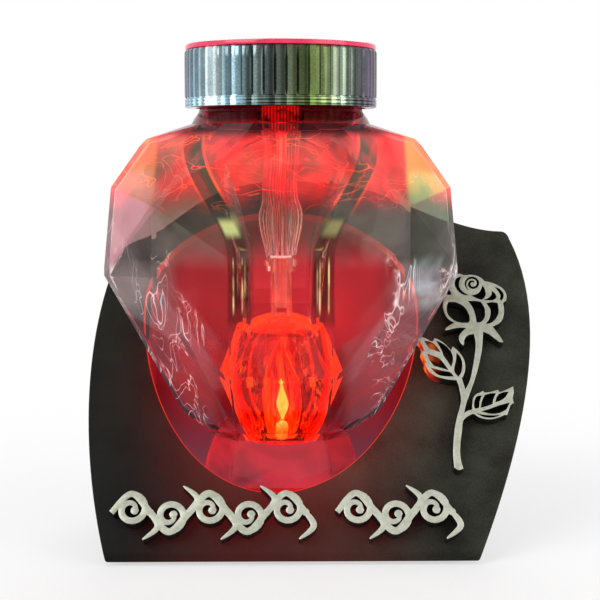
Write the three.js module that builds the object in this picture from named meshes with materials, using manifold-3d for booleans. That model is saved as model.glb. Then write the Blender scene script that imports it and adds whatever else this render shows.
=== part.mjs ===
// A memorial lamp: a faceted, heart-shaped glass jar stands in a dark leaning panel, and an electric flame in a
// faceted globe hangs inside it from the jar's ribbed screw lid.
// Millimetres, +Z up, +X to the right, +Y away from the front. The origin lies under the jar's axis, on the
// surface that the lamp stands on.
import * as THREE from "three";
import { ConvexGeometry } from "three/addons/geometries/ConvexGeometry.js";
import { mergeVertices } from "three/addons/utils/BufferGeometryUtils.js";
import Module from "manifold-3d";

const wasm = await Module();
wasm.setup();

// Driving dimensions: fits that several pieces share
const seatGap = 0.3;
const cutOverrun = 1;
const weldTolerance = 0.0001;

// Counts of sides and steps on round and curved pieces
const roundSides = 40;
const slimSides = 24;
const smallSides = 12;
const rodSteps = 3;
const openingSides = 56;
const panelCurveSteps = 12;
const panelEdgeSteps = 2;
const archSteps = 8;
const strokeSteps = 2;
const spiralSteps = 5;
const ribSteps = 3;
const threadSteps = 26;
const wireSteps = 24;
const conductorSteps = 14;
const slotSteps = 6;

// Driving dimensions: stand
const restPadThickness = 2;
const restPadInset = 8;
const floorPlateThickness = 4;
const beddingThickness = 2;
const panelThickness = 6;
const panelWidth = 193;
const panelFloorGap = 1;
const panelNoseHeight = 5;
const panelEdgeRound = 0.8;
const lipHeight = 26.6;
const lipClearance = 2.2;
const openingDrop = 39.3;
const openingClearance = 1.5;
const openingShift = -2.4;
const bridgeHeight = 19;
const rearPanelThickness = 4;
const rearPanelClearance = 5;
const rearPanelDrop = 23;
const cheekThickness = 8;
const cheekInset = 3;
const footRingWidth = 4;
const footRingHeight = 5;
const footRingClearance = 0.5;

// Driving dimensions: screws
const screwShank = 3;
const screwHead = 5.4;
const screwHeadHeight = 1.6;
const screwLength = 16;

// Driving dimensions: ornaments
const ornamentThickness = 6;
const roseHeight = 93.3;
const roseStroke = 2.1;
const roseMargin = -1.6;
const roseFoot = 38.6;
const scrollHeight = 27;
const scrollStroke = 2.5;
const scrollFoot = 7.6;
const scrollLeftX = -72.7;
const scrollLeftLength = 86;
const scrollLeftCurls = 5;
const scrollRightX = 20.7;
const scrollRightLength = 51;
const scrollRightCurls = 3;

// Driving dimensions: glass jar
const jarWidth = 152;
const jarDepth = 80;
const jarWaist = 46;
const glassWall = 3;
const footWidth = 70;
const footDepth = 48.4;
const footBaseThickness = 7;
const cleftDepth = 8;
const neckRadius = 34.4;
const neckHeight = 21.5;
const neckFlare = 2.6;
const threadRadius = 0.9;
const threadPitch = 6;
const threadTurns = 1.3;
const threadDrop = 10;

// Driving dimensions: lid
const lidOverlap = 14.5;
const lidWall = 4.6;
const lidRibDepth = 0.8;
const lidRibCount = 54;
const lidBandHeight = 3.4;
const lidBandGroove = 0.4;
const lidShoulder = 2;
const lidCapThickness = 2.2;
const lidCapSkirt = 3.8;
const lidCapSkirtWall = 1.2;
const lidRingHeight = 24.3;
const threadClearance = 0.9;
const gasketThickness = 1.2;

// Driving dimensions: battery tray and what it holds
const trayDepth = 16.3;
const trayWall = 1.2;
const trayFloor = 1.5;
const trayFlange = 2;
const trayClearance = 0.6;
const cellDiameter = 14.2;
const cellLength = 50.5;
const cellNub = 1;
const cellNubRadius = 2.75;
const cellSpacing = 15;
const cradleHeight = 1.6;
const cradleWidth = 2;
const contactThickness = 0.5;
const contactHeight = 11;
const contactWidth = 9;
const boardLength = 22;
const boardWidth = 9;
const boardThickness = 1.2;
const chipLength = 6;
const chipWidth = 4;
const chipHeight = 1.5;
const switchLength = 13;
const switchWidth = 6;
const switchHeight = 7;
const switchTravel = 4;
const sliderLength = 3.6;
const sliderWidth = 2.8;
const sliderHeight = 3;
const sliderRib = 0.9;
const sliderTongue = 1.8;
const wireDiameter = 1;
const wireSpacing = 2.8;

// Driving dimensions: stem
const socketFlange = 20.4;
const socketNeck = 17.8;
const socketTopHeight = 2.1;
const socketNeckHeight = 3.7;
const socketLowerHeight = 4.5;
const socketRibDepth = 0.5;
const stemSpigot = 14.8;
const stemSpigotHeight = 5;
const stemWall = 1.6;
const stemTop = 17.8;
const stemMiddle = 15.4;
const stemFlare = 19.2;
const stemEnd = 13.6;
const stemFluteShare = 0.035;
const stemUpperLength = 53.5;
const collarHeight = 7;
const collarWall = 1.5;
const contactDiscThickness = 1.2;
const lowerStemDiameter = 9.2;
const lowerStemBore = 5.2;
const lowerStemLength = 19.1;
const studDiameter = 2;
const studReach = 0.9;
const twistAngle = 45;
const stemWindowHeight = 3;
const stemWindowWidth = 4.2;
const bushFlange = 1.4;
const bushFlangeReach = 1.6;

// Driving dimensions: globe and flame
const globeRise = 34.6;
const globeHeight = 54.4;
const globeWidth = 54;
const globeWall = 2.4;
const globeSides = 10;
const globeBaseRadius = 10.7;
const lampBoardThickness = 1.2;
const lampBoardMargin = 1.2;
const emitterRadius = 2.5;
const emitterHeight = 6.2;
const flameHeight = 41.4;
const flameRadius = 8.5;
const flameWall = 1.8;
const conductorThickness = 1.2;
const conductorSpread = 13.5;
const clipSize = 2.6;
const clipHeight = 3.6;

// Levels that follow from the stack of pieces: the globe hangs clear of the jar's base, and the neck, lid and
// panel rise with the pieces above it.
const floorPlateTop = restPadThickness + floorPlateThickness;
const jarBase = floorPlateTop + beddingThickness;
const globeBottom = jarBase + globeRise;
const globeTop = globeBottom + globeHeight;
const collarBottom = globeTop + lowerStemLength;
const collarTop = collarBottom + collarHeight;
const lowerStemTop = collarTop - contactDiscThickness - seatGap;
const socketBottom = collarTop + stemUpperLength;
const trayBottom = socketBottom + socketLowerHeight + socketNeckHeight + socketTopHeight;
const trayFloorTop = trayBottom + trayFloor;
const trayFlangeTop = trayBottom + trayDepth;
const trayFlangeBottom = trayFlangeTop - trayFlange;
const neckTop = trayFlangeBottom - gasketThickness;
const jarShoulder = neckTop - neckHeight;
const lidBottom = neckTop - lidOverlap;
const lidShoulderTop = trayFlangeTop + lidShoulder;
const lidRingTop = lidBottom + lidRingHeight;
const openingTop = jarShoulder - openingDrop;

// Radii that follow from the neck
const neckBore = neckRadius - glassWall;
const lidBore = neckRadius + threadRadius + threadClearance;
const lidRadius = lidBore + lidWall;
const trayRadius = neckBore - trayClearance;
const trayBore = trayRadius - trayWall;

// The plane of the front panel: its front face passes the lip before the jar's foot and the opening's top
// behind the jar's back.
const lipY = -(footDepth / 2 + panelThickness + lipClearance);
const crownY = jarDepth / 2 + openingClearance;
const lean = Math.atan2(crownY - lipY, openingTop - lipHeight);
const panelFootY = lipY - lipHeight * Math.tan(lean);
const upPanel = (height) => height / Math.cos(lean);
const panelBackY = (height) => panelFootY + upPanel(panelThickness) + height * Math.tan(lean) + seatGap;

const finishes = {
  panel: { color: 0x38372f, roughness: 0.6, metalness: 0 },
  board: { color: 0x2b2a26, roughness: 0.8, metalness: 0 },
  foam: { color: 0x1c1c1c, roughness: 0.95, metalness: 0 },
  steel: { color: 0xa9abad, roughness: 0.35, metalness: 1 },
  ornament: { color: 0xa9a692, roughness: 0.45, metalness: 0.3 },
  glass: { color: 0xc9a6a2, roughness: 0.03, metalness: 0, transparent: true, opacity: 0.35 },
  rubber: { color: 0x2a2a2c, roughness: 0.8, metalness: 0 },
  silver: { color: 0xb4b8b6, roughness: 0.22, metalness: 1 },
  redPlastic: { color: 0xcd4b5e, roughness: 0.2, metalness: 0, transparent: true, opacity: 0.7 },
  darkPlastic: { color: 0x332c2b, roughness: 0.5, metalness: 0 },
  clearPlastic: { color: 0xd8b0aa, roughness: 0.08, metalness: 0, transparent: true, opacity: 0.4 },
  cell: { color: 0x46484c, roughness: 0.35, metalness: 0.4 },
  circuit: { color: 0x1f5a35, roughness: 0.5, metalness: 0 },
  brass: { color: 0xd2a24c, roughness: 0.3, metalness: 1 },
  wire: { color: 0x9a1f1c, roughness: 0.5, metalness: 0 },
  globe: { color: 0xe8321c, roughness: 0.08, metalness: 0, transparent: true, opacity: 0.6 },
  flame: { color: 0xffc27a, roughness: 0.1, metalness: 0, emissive: 0xff5a1e },
};

// A closed three.js geometry as a solid that can be joined and cut.
function toSolid(geometry) {
  const bare = geometry.index ? geometry.toNonIndexed() : geometry.clone();
  bare.deleteAttribute("normal");
  bare.deleteAttribute("uv");
  const merged = mergeVertices(bare, weldTolerance);
  return new wasm.Manifold(
    new wasm.Mesh({
      numProp: 3,
      vertProperties: new Float32Array(merged.attributes.position.array),
      triVerts: new Uint32Array(merged.index.array),
    }),
  );
}

function toGeometry(solid) {
  const mesh = solid.getMesh();
  const geometry = new THREE.BufferGeometry();
  geometry.setAttribute("position", new THREE.BufferAttribute(new Float32Array(mesh.vertProperties), 3));
  geometry.setIndex(new THREE.BufferAttribute(new Uint32Array(mesh.triVerts), 1));
  geometry.computeVertexNormals();
  return geometry;
}

const joined = (solids) => solids.reduce((whole, next) => whole.add(next));

// Adds one named piece to a group, from a geometry or a solid.
function piece(group, name, shape, finish) {
  const geometry = shape.isBufferGeometry ? shape : toGeometry(shape);
  const mesh = new THREE.Mesh(geometry, new THREE.MeshStandardMaterial(finishes[finish]));
  mesh.name = name;
  group.add(mesh);
  return mesh;
}

// A box between two corners.
function block([x0, y0, z0], [x1, y1, z1]) {
  const geometry = new THREE.BoxGeometry(x1 - x0, y1 - y0, z1 - z0);
  return geometry.translate((x0 + x1) / 2, (y0 + y1) / 2, (z0 + z1) / 2);
}

// A turned piece about Z from [radius, height] points, listed from the bottom of its axis or bore upwards.
function turned(profile, sides = roundSides) {
  const points = profile.map(([radius, height]) => new THREE.Vector2(radius, height));
  return new THREE.LatheGeometry(points, sides).rotateX(Math.PI / 2);
}

function drum(radius, bottom, top, sides = roundSides) {
  return turned([[0, bottom], [radius, bottom], [radius, top], [0, top]], sides);
}

// A turned piece with a bore: its profile closes on itself.
function ring(profile, sides = roundSides) {
  return turned([...profile, profile[0]], sides);
}

function flatShape(points) {
  return new THREE.Shape(points.map(([x, y]) => new THREE.Vector2(x, y)));
}

function extruded(shape, depth, steps = 1) {
  return new THREE.ExtrudeGeometry(shape, { depth, bevelEnabled: false, curveSegments: steps });
}

// A round rod along a curve.
function rodAlong(path, diameter, steps) {
  const section = new THREE.Shape().absarc(0, 0, diameter / 2, 0, 2 * Math.PI);
  return new THREE.ExtrudeGeometry(section, { steps, curveSegments: rodSteps, extrudePath: path });
}

// Stand: a leaning front panel with an opening for the jar, and a hollow wedge behind it
const stand = new THREE.Group();
const leaning = new THREE.Group();
leaning.position.y = panelFootY;
leaning.rotation.x = Math.PI / 2 - lean;
leaning.updateMatrixWorld(true);
const intoLeaning = leaning.matrixWorld.clone().invert();

const openingBottomUp = upPanel(lipHeight);
const openingTopUp = upPanel(openingTop);
const panelHeight = openingTopUp + bridgeHeight;
const panelLeftShare = -0.358;
const panelRightShare = 0.399;
const panelSinkShare = -0.03;

// The panel's outline as shares of its width and height, curve by curve from its right foot: bowed sides, a low
// left corner and an arched top. A curve of three points is cubic and one of two is quadratic.
const panelCurveShares = [
  [[0.497, 0.195], [0.633, 0.57], [0.541, 0.822]],
  [[0.536, 0.846], [0.52, 0.846]],
  [[0.37, 0.85], [0.25, 1], [0.02, 1]],
  [[-0.2, 1], [-0.25, 0.835], [-0.36, 0.815]],
  [[-0.372, 0.812], [-0.376, 0.795]],
  [[-0.453, 0.57], [-0.443, 0.245], [panelLeftShare, panelSinkShare]],
];

function panelOutline() {
  const at = ([xShare, yShare]) => [panelWidth * xShare, panelHeight * yShare];
  const shape = new THREE.Shape();
  shape.moveTo(...at([panelLeftShare, panelSinkShare]));
  shape.lineTo(...at([panelRightShare, panelSinkShare]));
  for (const curve of panelCurveShares) {
    const points = curve.flatMap(at);
    if (curve.length === 3) shape.bezierCurveTo(...points);
    else shape.quadraticCurveTo(...points);
  }
  return shape;
}

// The egg-shaped opening: two half-ellipses that share their widest line. Its foot stands a little to the left
// of the jar's axis.
const openingWidthShare = 0.79;
const openingWaistShare = 0.643;
const openingHalfWidth = (jarWidth / 2) * openingWidthShare;

function openingPoints() {
  const waist = openingBottomUp + (openingTopUp - openingBottomUp) * openingWaistShare;
  return Array.from({ length: openingSides }, (_, step) => {
    const turn = (2 * Math.PI * step) / openingSides;
    const along = Math.sin(turn);
    const reach = along > 0 ? openingTopUp - waist : waist - openingBottomUp;
    const shift = along < 0 ? openingShift * along ** 2 : 0;
    return [shift + openingHalfWidth * Math.cos(turn), waist + reach * along];
  });
}

function frontPanel() {
  const outline = panelOutline();
  const plate = new THREE.ExtrudeGeometry(outline, {
    depth: panelThickness - 2 * panelEdgeRound,
    bevelThickness: panelEdgeRound,
    bevelSize: panelEdgeRound,
    bevelOffset: -panelEdgeRound,
    bevelSegments: panelEdgeSteps,
    curveSegments: panelCurveSteps,
  }).translate(0, 0, panelEdgeRound - panelThickness);
  const opening = extruded(flatShape(openingPoints()), panelThickness + 2 * cutOverrun);
  opening.translate(0, 0, -panelThickness - cutOverrun);
  const noseY = panelFootY + panelNoseHeight * Math.tan(lean);
  const below = block(
    [-panelWidth, panelFootY - panelHeight, -panelHeight],
    [panelWidth, -panelFootY, panelFloorGap],
  ).applyMatrix4(intoLeaning);
  const beyondNose = block(
    [-panelWidth, panelFootY - panelHeight, -panelHeight],
    [panelWidth, noseY, panelNoseHeight + cutOverrun],
  ).applyMatrix4(intoLeaning);
  return toSolid(plate).subtract(toSolid(opening)).subtract(toSolid(below)).subtract(toSolid(beyondNose));
}

piece(leaning, "front_panel", frontPanel(), "panel");
stand.add(leaning);

// The wedge behind the panel
const wedgeLeft = panelWidth * panelLeftShare + cheekInset;
const wedgeRight = panelWidth * panelRightShare - cheekInset;
const rearY = jarDepth / 2 + rearPanelClearance;
const rearTop = (rearY - panelBackY(0)) / Math.tan(lean) - seatGap;
const rearShoulder = rearTop - rearPanelDrop;
const screwRadius = screwShank / 2;
const screwHoleRadius = screwRadius + seatGap;
const headHoleRadius = screwHead / 2 + seatGap;
const cheekMiddles = [wedgeLeft + cheekThickness / 2, wedgeRight - cheekThickness / 2];

const screwLowHeight = floorPlateTop + screwLength;
const screwHighHeight = rearShoulder - screwLength;
const rearScrewPlaces = cheekMiddles.flatMap((x) => [screwLowHeight, screwHighHeight].map((z) => [x, z]));
const floorScrewFrontY = panelBackY(floorPlateTop) + screwLength;
const floorScrewRearY = rearY - screwLength;
const floorScrewPlaces = cheekMiddles.flatMap((x) => [floorScrewFrontY, floorScrewRearY].map((y) => [x, y]));

// A pan-head screw along Z: its head's seat lies at 0 and its shank runs down.
function screw() {
  return turned(
    [
      [0, -screwLength],
      [screwRadius / 2, -screwLength],
      [screwRadius, -screwLength + screwRadius],
      [screwRadius, 0],
      [screwHead / 2, 0],
      [screwHead / 2, screwHeadHeight / 2],
      [screwHead / 4, screwHeadHeight],
      [0, screwHeadHeight],
    ],
    smallSides,
  );
}

const rearScrewHole = ([x, z]) => {
  const hole = drum(screwHoleRadius, -screwLength - seatGap, rearPanelThickness + cutOverrun, smallSides);
  return toSolid(hole.rotateX(-Math.PI / 2).translate(x, rearY + rearPanelThickness, z));
};

const floorScrewHole = ([x, y]) => {
  const shank = drum(screwHoleRadius, -cutOverrun, screwLength + screwHeadHeight + seatGap, smallSides);
  return toSolid(shank.translate(x, y, restPadThickness));
};

function floorPlate() {
  let plate = toSolid(
    block(
      [wedgeLeft, panelBackY(floorPlateTop), restPadThickness],
      [wedgeRight, rearY + rearPanelThickness, floorPlateTop],
    ),
  );
  for (const place of floorScrewPlaces) {
    const sink = drum(headHoleRadius, -cutOverrun, screwHeadHeight + seatGap, smallSides);
    plate = plate.subtract(floorScrewHole(place));
    plate = plate.subtract(toSolid(sink.translate(place[0], place[1], restPadThickness)));
  }
  return plate;
}

function rearPanel() {
  const shape = new THREE.Shape();
  shape.moveTo(wedgeLeft, floorPlateTop);
  shape.lineTo(wedgeRight, floorPlateTop);
  shape.lineTo(wedgeRight, rearShoulder);
  shape.quadraticCurveTo(wedgeRight / 2, rearTop, 0, rearTop);
  shape.quadraticCurveTo(wedgeLeft / 2, rearTop, wedgeLeft, rearShoulder);
  const plate = extruded(shape, rearPanelThickness, archSteps).rotateX(Math.PI / 2);
  plate.translate(0, rearY + rearPanelThickness, 0);
  return rearScrewPlaces.reduce((solid, place) => solid.subtract(rearScrewHole(place)), toSolid(plate));
}

function cheek(x0) {
  const profile = flatShape([
    [panelBackY(floorPlateTop), floorPlateTop],
    [rearY, floorPlateTop],
    [rearY, rearShoulder],
    [panelBackY(rearShoulder), rearShoulder],
  ]);
  const plate = extruded(profile, cheekThickness).applyMatrix4(
    new THREE.Matrix4().set(0, 0, 1, x0, 1, 0, 0, 0, 0, 1, 0, 0, 0, 0, 0, 1),
  );
  const holes = [...rearScrewPlaces.map(rearScrewHole), ...floorScrewPlaces.map(floorScrewHole)];
  return holes.reduce((solid, hole) => solid.subtract(hole), toSolid(plate));
}

piece(stand, "floor_plate", floorPlate(), "board");
piece(stand, "rear_panel", rearPanel(), "board");
piece(stand, "cheek_left", cheek(wedgeLeft), "board");
piece(stand, "cheek_right", cheek(wedgeRight - cheekThickness), "board");
piece(
  stand,
  "rest_pad",
  block(
    [wedgeLeft + restPadInset, panelBackY(floorPlateTop) + restPadInset, 0],
    [wedgeRight - restPadInset, rearY + rearPanelThickness - restPadInset, restPadThickness],
  ),
  "foam",
);

rearScrewPlaces.forEach(([x, z], index) => {
  const mesh = piece(stand, `rear_screw_${index + 1}`, screw(), "steel");
  mesh.rotation.x = -Math.PI / 2;
  mesh.position.set(x, rearY + rearPanelThickness + seatGap, z);
});

floorScrewPlaces.forEach(([x, y], index) => {
  const mesh = piece(stand, `floor_screw_${index + 1}`, screw(), "steel");
  mesh.rotation.x = Math.PI;
  mesh.position.set(x, y, restPadThickness + screwHeadHeight);
});

// Ornaments: flat strokes cut from one sheet, laid on the front panel
// A curved stroke through points, as wide as asked at each end, with blunt ends.
function stroke(points, startWidth, endWidth = startWidth) {
  const path = new THREE.SplineCurve(points.map(([x, y]) => new THREE.Vector2(x, y)));
  const count = strokeSteps * (points.length - 1);
  const sides = [[], []];
  for (let step = 0; step <= count; step++) {
    const share = step / count;
    const middle = path.getPoint(share);
    const along = path.getTangent(share);
    const half = (startWidth + (endWidth - startWidth) * share) / 2;
    sides[0].push([middle.x - along.y * half, middle.y + along.x * half]);
    sides[1].push([middle.x + along.y * half, middle.y - along.x * half]);
  }
  return toSolid(extruded(flatShape([...sides[0].reverse(), ...sides[1]]), ornamentThickness));
}

const spiralTaperShare = 0.8;

// A spiral stroke that winds in from an outer radius to an inner one.
function spiral([x, y], outer, inner, startTurn, turns, width) {
  const count = Math.ceil(Math.abs(turns) * spiralSteps);
  const points = Array.from({ length: count + 1 }, (_, step) => {
    const share = step / count;
    const radius = outer + (inner - outer) * share;
    const angle = 2 * Math.PI * (startTurn + turns * share);
    return [x + radius * Math.cos(angle), y + radius * Math.sin(angle)];
  });
  return stroke(points, width, width * spiralTaperShare);
}

// The rose, in shares of its height from the foot of its box: bloom, sepals, stem and two veined leaves.
const roseStrokeShares = [
  [[[0.188, 0], [0.17, 0.15], [0.205, 0.33]], 1.7, 1.6],
  [[[0.205, 0.33], [0.27, 0.47], [0.288, 0.66]], 1.6, 2.3],
  [[[0.288, 0.655], [0.2, 0.685], [0.145, 0.79], [0.165, 0.845]], 1, 1],
  [[[0.288, 0.655], [0.262, 0.76], [0.165, 0.845]], 1.3, 1],
  [[[0.288, 0.655], [0.34, 0.71], [0.335, 0.775], [0.3, 0.815]], 1.1, 1],
  [[[0.288, 0.655], [0.405, 0.66], [0.445, 0.745], [0.43, 0.825]], 1.1, 1],
  [[[0.165, 0.845], [0.23, 0.8], [0.33, 0.8], [0.43, 0.825]], 1.1, 1.1],
  [[[0.175, 0.835], [0.14, 0.9], [0.18, 0.965], [0.25, 0.955]], 1.1, 1.2],
  [[[0.25, 0.955], [0.32, 0.985], [0.37, 0.93], [0.345, 0.865], [0.26, 0.845], [0.205, 0.89]], 1.1, 1],
  [[[0.355, 0.92], [0.44, 0.91], [0.462, 0.84], [0.425, 0.82]], 1.1, 1],
  [[[0.355, 0.9], [0.39, 0.87], [0.385, 0.81]], 0.9, 0.8],
  [[[0.2, 0.94], [0.185, 0.88], [0.235, 0.805]], 0.8, 0.8],
  [[[0.288, 0.66], [0.2, 0.66], [0.11, 0.625]], 1.7, 0.5],
  [[[0.288, 0.66], [0.235, 0.63], [0.22, 0.565]], 1.6, 0.5],
  [[[0.288, 0.66], [0.35, 0.63], [0.405, 0.57]], 1.8, 0.5],
  [[[0.212, 0.36], [0.195, 0.42], [0.17, 0.455]], 1.1, 0.9],
  [[[0.17, 0.455], [0.1, 0.455], [0.06, 0.515]], 0.9, 0.9],
  [[[0.06, 0.515], [0.045, 0.57], [0.03, 0.625]], 0.9, 0.7],
  [[[0.03, 0.625], [0.11, 0.625], [0.17, 0.575]], 0.7, 0.9],
  [[[0.17, 0.575], [0.225, 0.52], [0.17, 0.455]], 0.9, 0.9],
  [[[0.17, 0.455], [0.12, 0.535], [0.03, 0.625]], 0.9, 0.6],
  [[[0.15, 0.485], [0.105, 0.495], [0.065, 0.51]], 0.7, 0.6],
  [[[0.125, 0.525], [0.085, 0.54], [0.05, 0.56]], 0.7, 0.6],
  [[[0.145, 0.49], [0.14, 0.54], [0.125, 0.6]], 0.7, 0.6],
  [[[0.105, 0.55], [0.09, 0.59], [0.085, 0.62]], 0.7, 0.6],
  [[[0.185, 0.25], [0.22, 0.285], [0.265, 0.295]], 1.1, 0.9],
  [[[0.265, 0.295], [0.255, 0.36], [0.33, 0.385], [0.445, 0.41]], 0.9, 0.7],
  [[[0.265, 0.295], [0.33, 0.25], [0.41, 0.275], [0.445, 0.41]], 0.9, 0.7],
  [[[0.265, 0.295], [0.35, 0.33], [0.445, 0.41]], 0.9, 0.6],
  [[[0.3, 0.31], [0.3, 0.345], [0.32, 0.38]], 0.7, 0.6],
  [[[0.345, 0.33], [0.355, 0.36], [0.385, 0.395]], 0.7, 0.6],
  [[[0.32, 0.315], [0.365, 0.29], [0.405, 0.295]], 0.7, 0.6],
  [[[0.37, 0.345], [0.4, 0.33], [0.435, 0.335]], 0.7, 0.6],
];
const roseSpiralShares = { middle: [0.278, 0.905], outer: 0.052, inner: 0.016, start: -0.3, turns: 1.6 };

function rose() {
  const roseX = openingHalfWidth + roseMargin;
  const place = ([x, y]) => [roseX + roseHeight * x, roseFoot + roseHeight * y];
  const strokes = roseStrokeShares.map(([points, start, end]) =>
    stroke(points.map(place), roseStroke * start, roseStroke * end),
  );
  const { middle, outer, inner, start, turns } = roseSpiralShares;
  strokes.push(spiral(place(middle), roseHeight * outer, roseHeight * inner, start, turns, roseStroke));
  return joined(strokes);
}

// A scroll's stem as shares of its length and height, its curls and leaves as shares of its height, and its
// stroke widths as shares of the stem's.
const scrollStemShares = { start: 0.04, span: 0.92, middle: 0.5, lift: 0.3 };
const scrollCurlShares = { outer: 0.25, inner: 0.075, start: 0.25, turns: 1.25, width: 0.9 };
const scrollLeafShares = { bend: [0.12, 0.22], tip: [-0.1, 0.42], rootWidth: 1.5, tipWidth: 0.3 };

// A scroll ornament: a waved stem with curls above and below it, and small leaves.
function scroll(x0, length, curls) {
  const { start, span, middle, lift } = scrollStemShares;
  const wave = Array.from({ length: 2 * curls + 1 }, (_, step) => {
    const rise = Math.sin((Math.PI * step) / 2) * lift;
    const x = x0 + length * (start + (span * step) / (2 * curls));
    return [x, scrollFoot + scrollHeight * (middle + rise)];
  });
  const strokes = [stroke(wave, scrollStroke)];
  for (let curl = 0; curl < curls; curl++) {
    const up = curl % 2 ? 1 : -1;
    const [crestX, crestY] = wave[2 * curl + 1];
    const outer = scrollHeight * scrollCurlShares.outer;
    const inner = scrollHeight * scrollCurlShares.inner;
    const from = -up * scrollCurlShares.start;
    const turns = up * scrollCurlShares.turns;
    const curlWidth = scrollStroke * scrollCurlShares.width;
    strokes.push(spiral([crestX, crestY + up * outer], outer, inner, from, turns, curlWidth));
    const [rootX, rootY] = wave[2 * curl + 2];
    const fromRoot = ([x, y]) => [rootX + scrollHeight * x, rootY + up * scrollHeight * y];
    const leaf = [[rootX, rootY], fromRoot(scrollLeafShares.bend), fromRoot(scrollLeafShares.tip)];
    const { rootWidth, tipWidth } = scrollLeafShares;
    strokes.push(stroke(leaf, scrollStroke * rootWidth, scrollStroke * tipWidth));
  }
  return joined(strokes);
}

const ornaments = [
  ["rose_ornament", rose()],
  ["scroll_left", scroll(scrollLeftX, scrollLeftLength, scrollLeftCurls)],
  ["scroll_right", scroll(scrollRightX, scrollRightLength, scrollRightCurls)],
];
for (const [name, solid] of ornaments) piece(leaning, name, solid, "ornament").position.z = seatGap;

// Glass jar
const jarMiddle = (jarShoulder + jarWaist) / 2;
const jarHalfHeight = (jarShoulder - jarWaist) / 2;
const neckBaseRadius = neckRadius + neckFlare;

// The body's corners in one quarter of the plan, as shares of half its width, half its depth and half its
// height from the middle.
const bodyCornerShares = [
  [0.75, 0.09, 0.91],
  [0.79, 0.05, 0.865],
  [0.955, 0.05, 0.6],
  [1, 0.05, 0.08],
  [1, 0.05, 0.03],
  [0.85, 0.05, -0.26],
  [0.735, 0.06, -0.5],
  [0.56, 0.08, -0.86],
  [0.44, 0.8, 0.72],
  [0.7, 0.68, 0.5],
  [0.3, 1, 0.2],
  [0.28, 0.98, -0.15],
  [0.7, 0.62, -0.03],
  [0.5, 0.76, -0.42],
  [0.28, 0.86, -0.6],
  [0.372, 0.25, -1],
  [0.25, 0.55, -1],
];

function bodyHull(inset) {
  const half = new THREE.Vector3(jarWidth / 2 - inset, jarDepth / 2 - inset, jarHalfHeight - inset);
  const corners = bodyCornerShares.flatMap(([x, y, z]) =>
    [[1, 1], [1, -1], [-1, 1], [-1, -1]].map(
      ([sx, sy]) => new THREE.Vector3(sx * x * half.x, sy * y * half.y, jarMiddle + z * half.z),
    ),
  );
  const crown = neckBaseRadius + neckFlare - inset;
  for (let step = 0; step < roundSides / 2; step++) {
    const turn = (4 * Math.PI * step) / roundSides;
    corners.push(new THREE.Vector3(crown * Math.cos(turn), crown * Math.sin(turn), jarMiddle + half.z));
  }
  return toSolid(new ConvexGeometry(corners));
}

// The foot: an eight-sided flare, as shares of its half width and half depth at each height share.
const footRingShares = [
  [0, 1, 1],
  [0.36, 1, 0.97],
  [0.69, 0.93, 0.93],
  [1, 0.8, 0.9],
];
const footCornerShare = { front: 0.66, side: 0.4 };

function footHull(inset, lift) {
  const bottom = jarBase + lift;
  const top = jarWaist + cutOverrun + (3 * inset) / 2;
  const corners = footRingShares.flatMap(([height, widthShare, depthShare]) => {
    const halfWidth = (footWidth / 2) * widthShare - inset;
    const halfDepth = (footDepth / 2) * depthShare - inset;
    const z = bottom + (top - bottom) * height;
    return [[1, 1], [1, -1], [-1, 1], [-1, -1]].flatMap(([sx, sy]) => [
      new THREE.Vector3(sx * halfWidth, sy * halfDepth * footCornerShare.side, z),
      new THREE.Vector3(sx * halfWidth * footCornerShare.front, sy * halfDepth, z),
    ]);
  });
  return toSolid(new ConvexGeometry(corners));
}

// The cleft, front and back: a funnel under the neck that narrows to a channel, as height from the middle,
// half width and depth shares.
const cleftShares = [
  [0.93, 0.47, 0.1],
  [0.75, 0.4, 0.55],
  [0.5, 0.3, 0.9],
  [0.22, 0.225, 1],
  [-0.1, 0.205, 0.9],
  [-0.42, 0.18, 0],
];
const cleftFloorShare = 0.72;

function cleft(inset) {
  const face = jarDepth / 2 + cutOverrun;
  const section = ([height, width, depth]) => {
    const z = jarMiddle + height * jarHalfHeight;
    const halfWidth = (jarWidth / 2) * width + inset;
    const floor = jarDepth / 2 - cleftDepth * depth - inset;
    return [
      [halfWidth, face],
      [-halfWidth, face],
      [halfWidth * cleftFloorShare, floor],
      [-halfWidth * cleftFloorShare, floor],
    ].map(([x, y]) => new THREE.Vector3(x, y, z));
  };
  const stretches = cleftShares.slice(1).map((share, index) => {
    const corners = [...section(cleftShares[index]), ...section(share)];
    return toSolid(new ConvexGeometry(corners));
  });
  const front = joined(stretches);
  return front.add(front.mirror([0, 1, 0]));
}

class Helix extends THREE.Curve {
  constructor(radius, pitch, turns, bottom) {
    super();
    Object.assign(this, { radius, pitch, turns, bottom });
  }
  getPoint(share, target = new THREE.Vector3()) {
    const angle = 2 * Math.PI * this.turns * share;
    const height = this.bottom + this.pitch * this.turns * share;
    return target.set(this.radius * Math.cos(angle), this.radius * Math.sin(angle), height);
  }
}

function neckThread() {
  const bottom = neckTop - threadDrop - (threadPitch * threadTurns) / 2;
  return rodAlong(new Helix(neckRadius, threadPitch, threadTurns, bottom), 2 * threadRadius, threadSteps);
}

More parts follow.
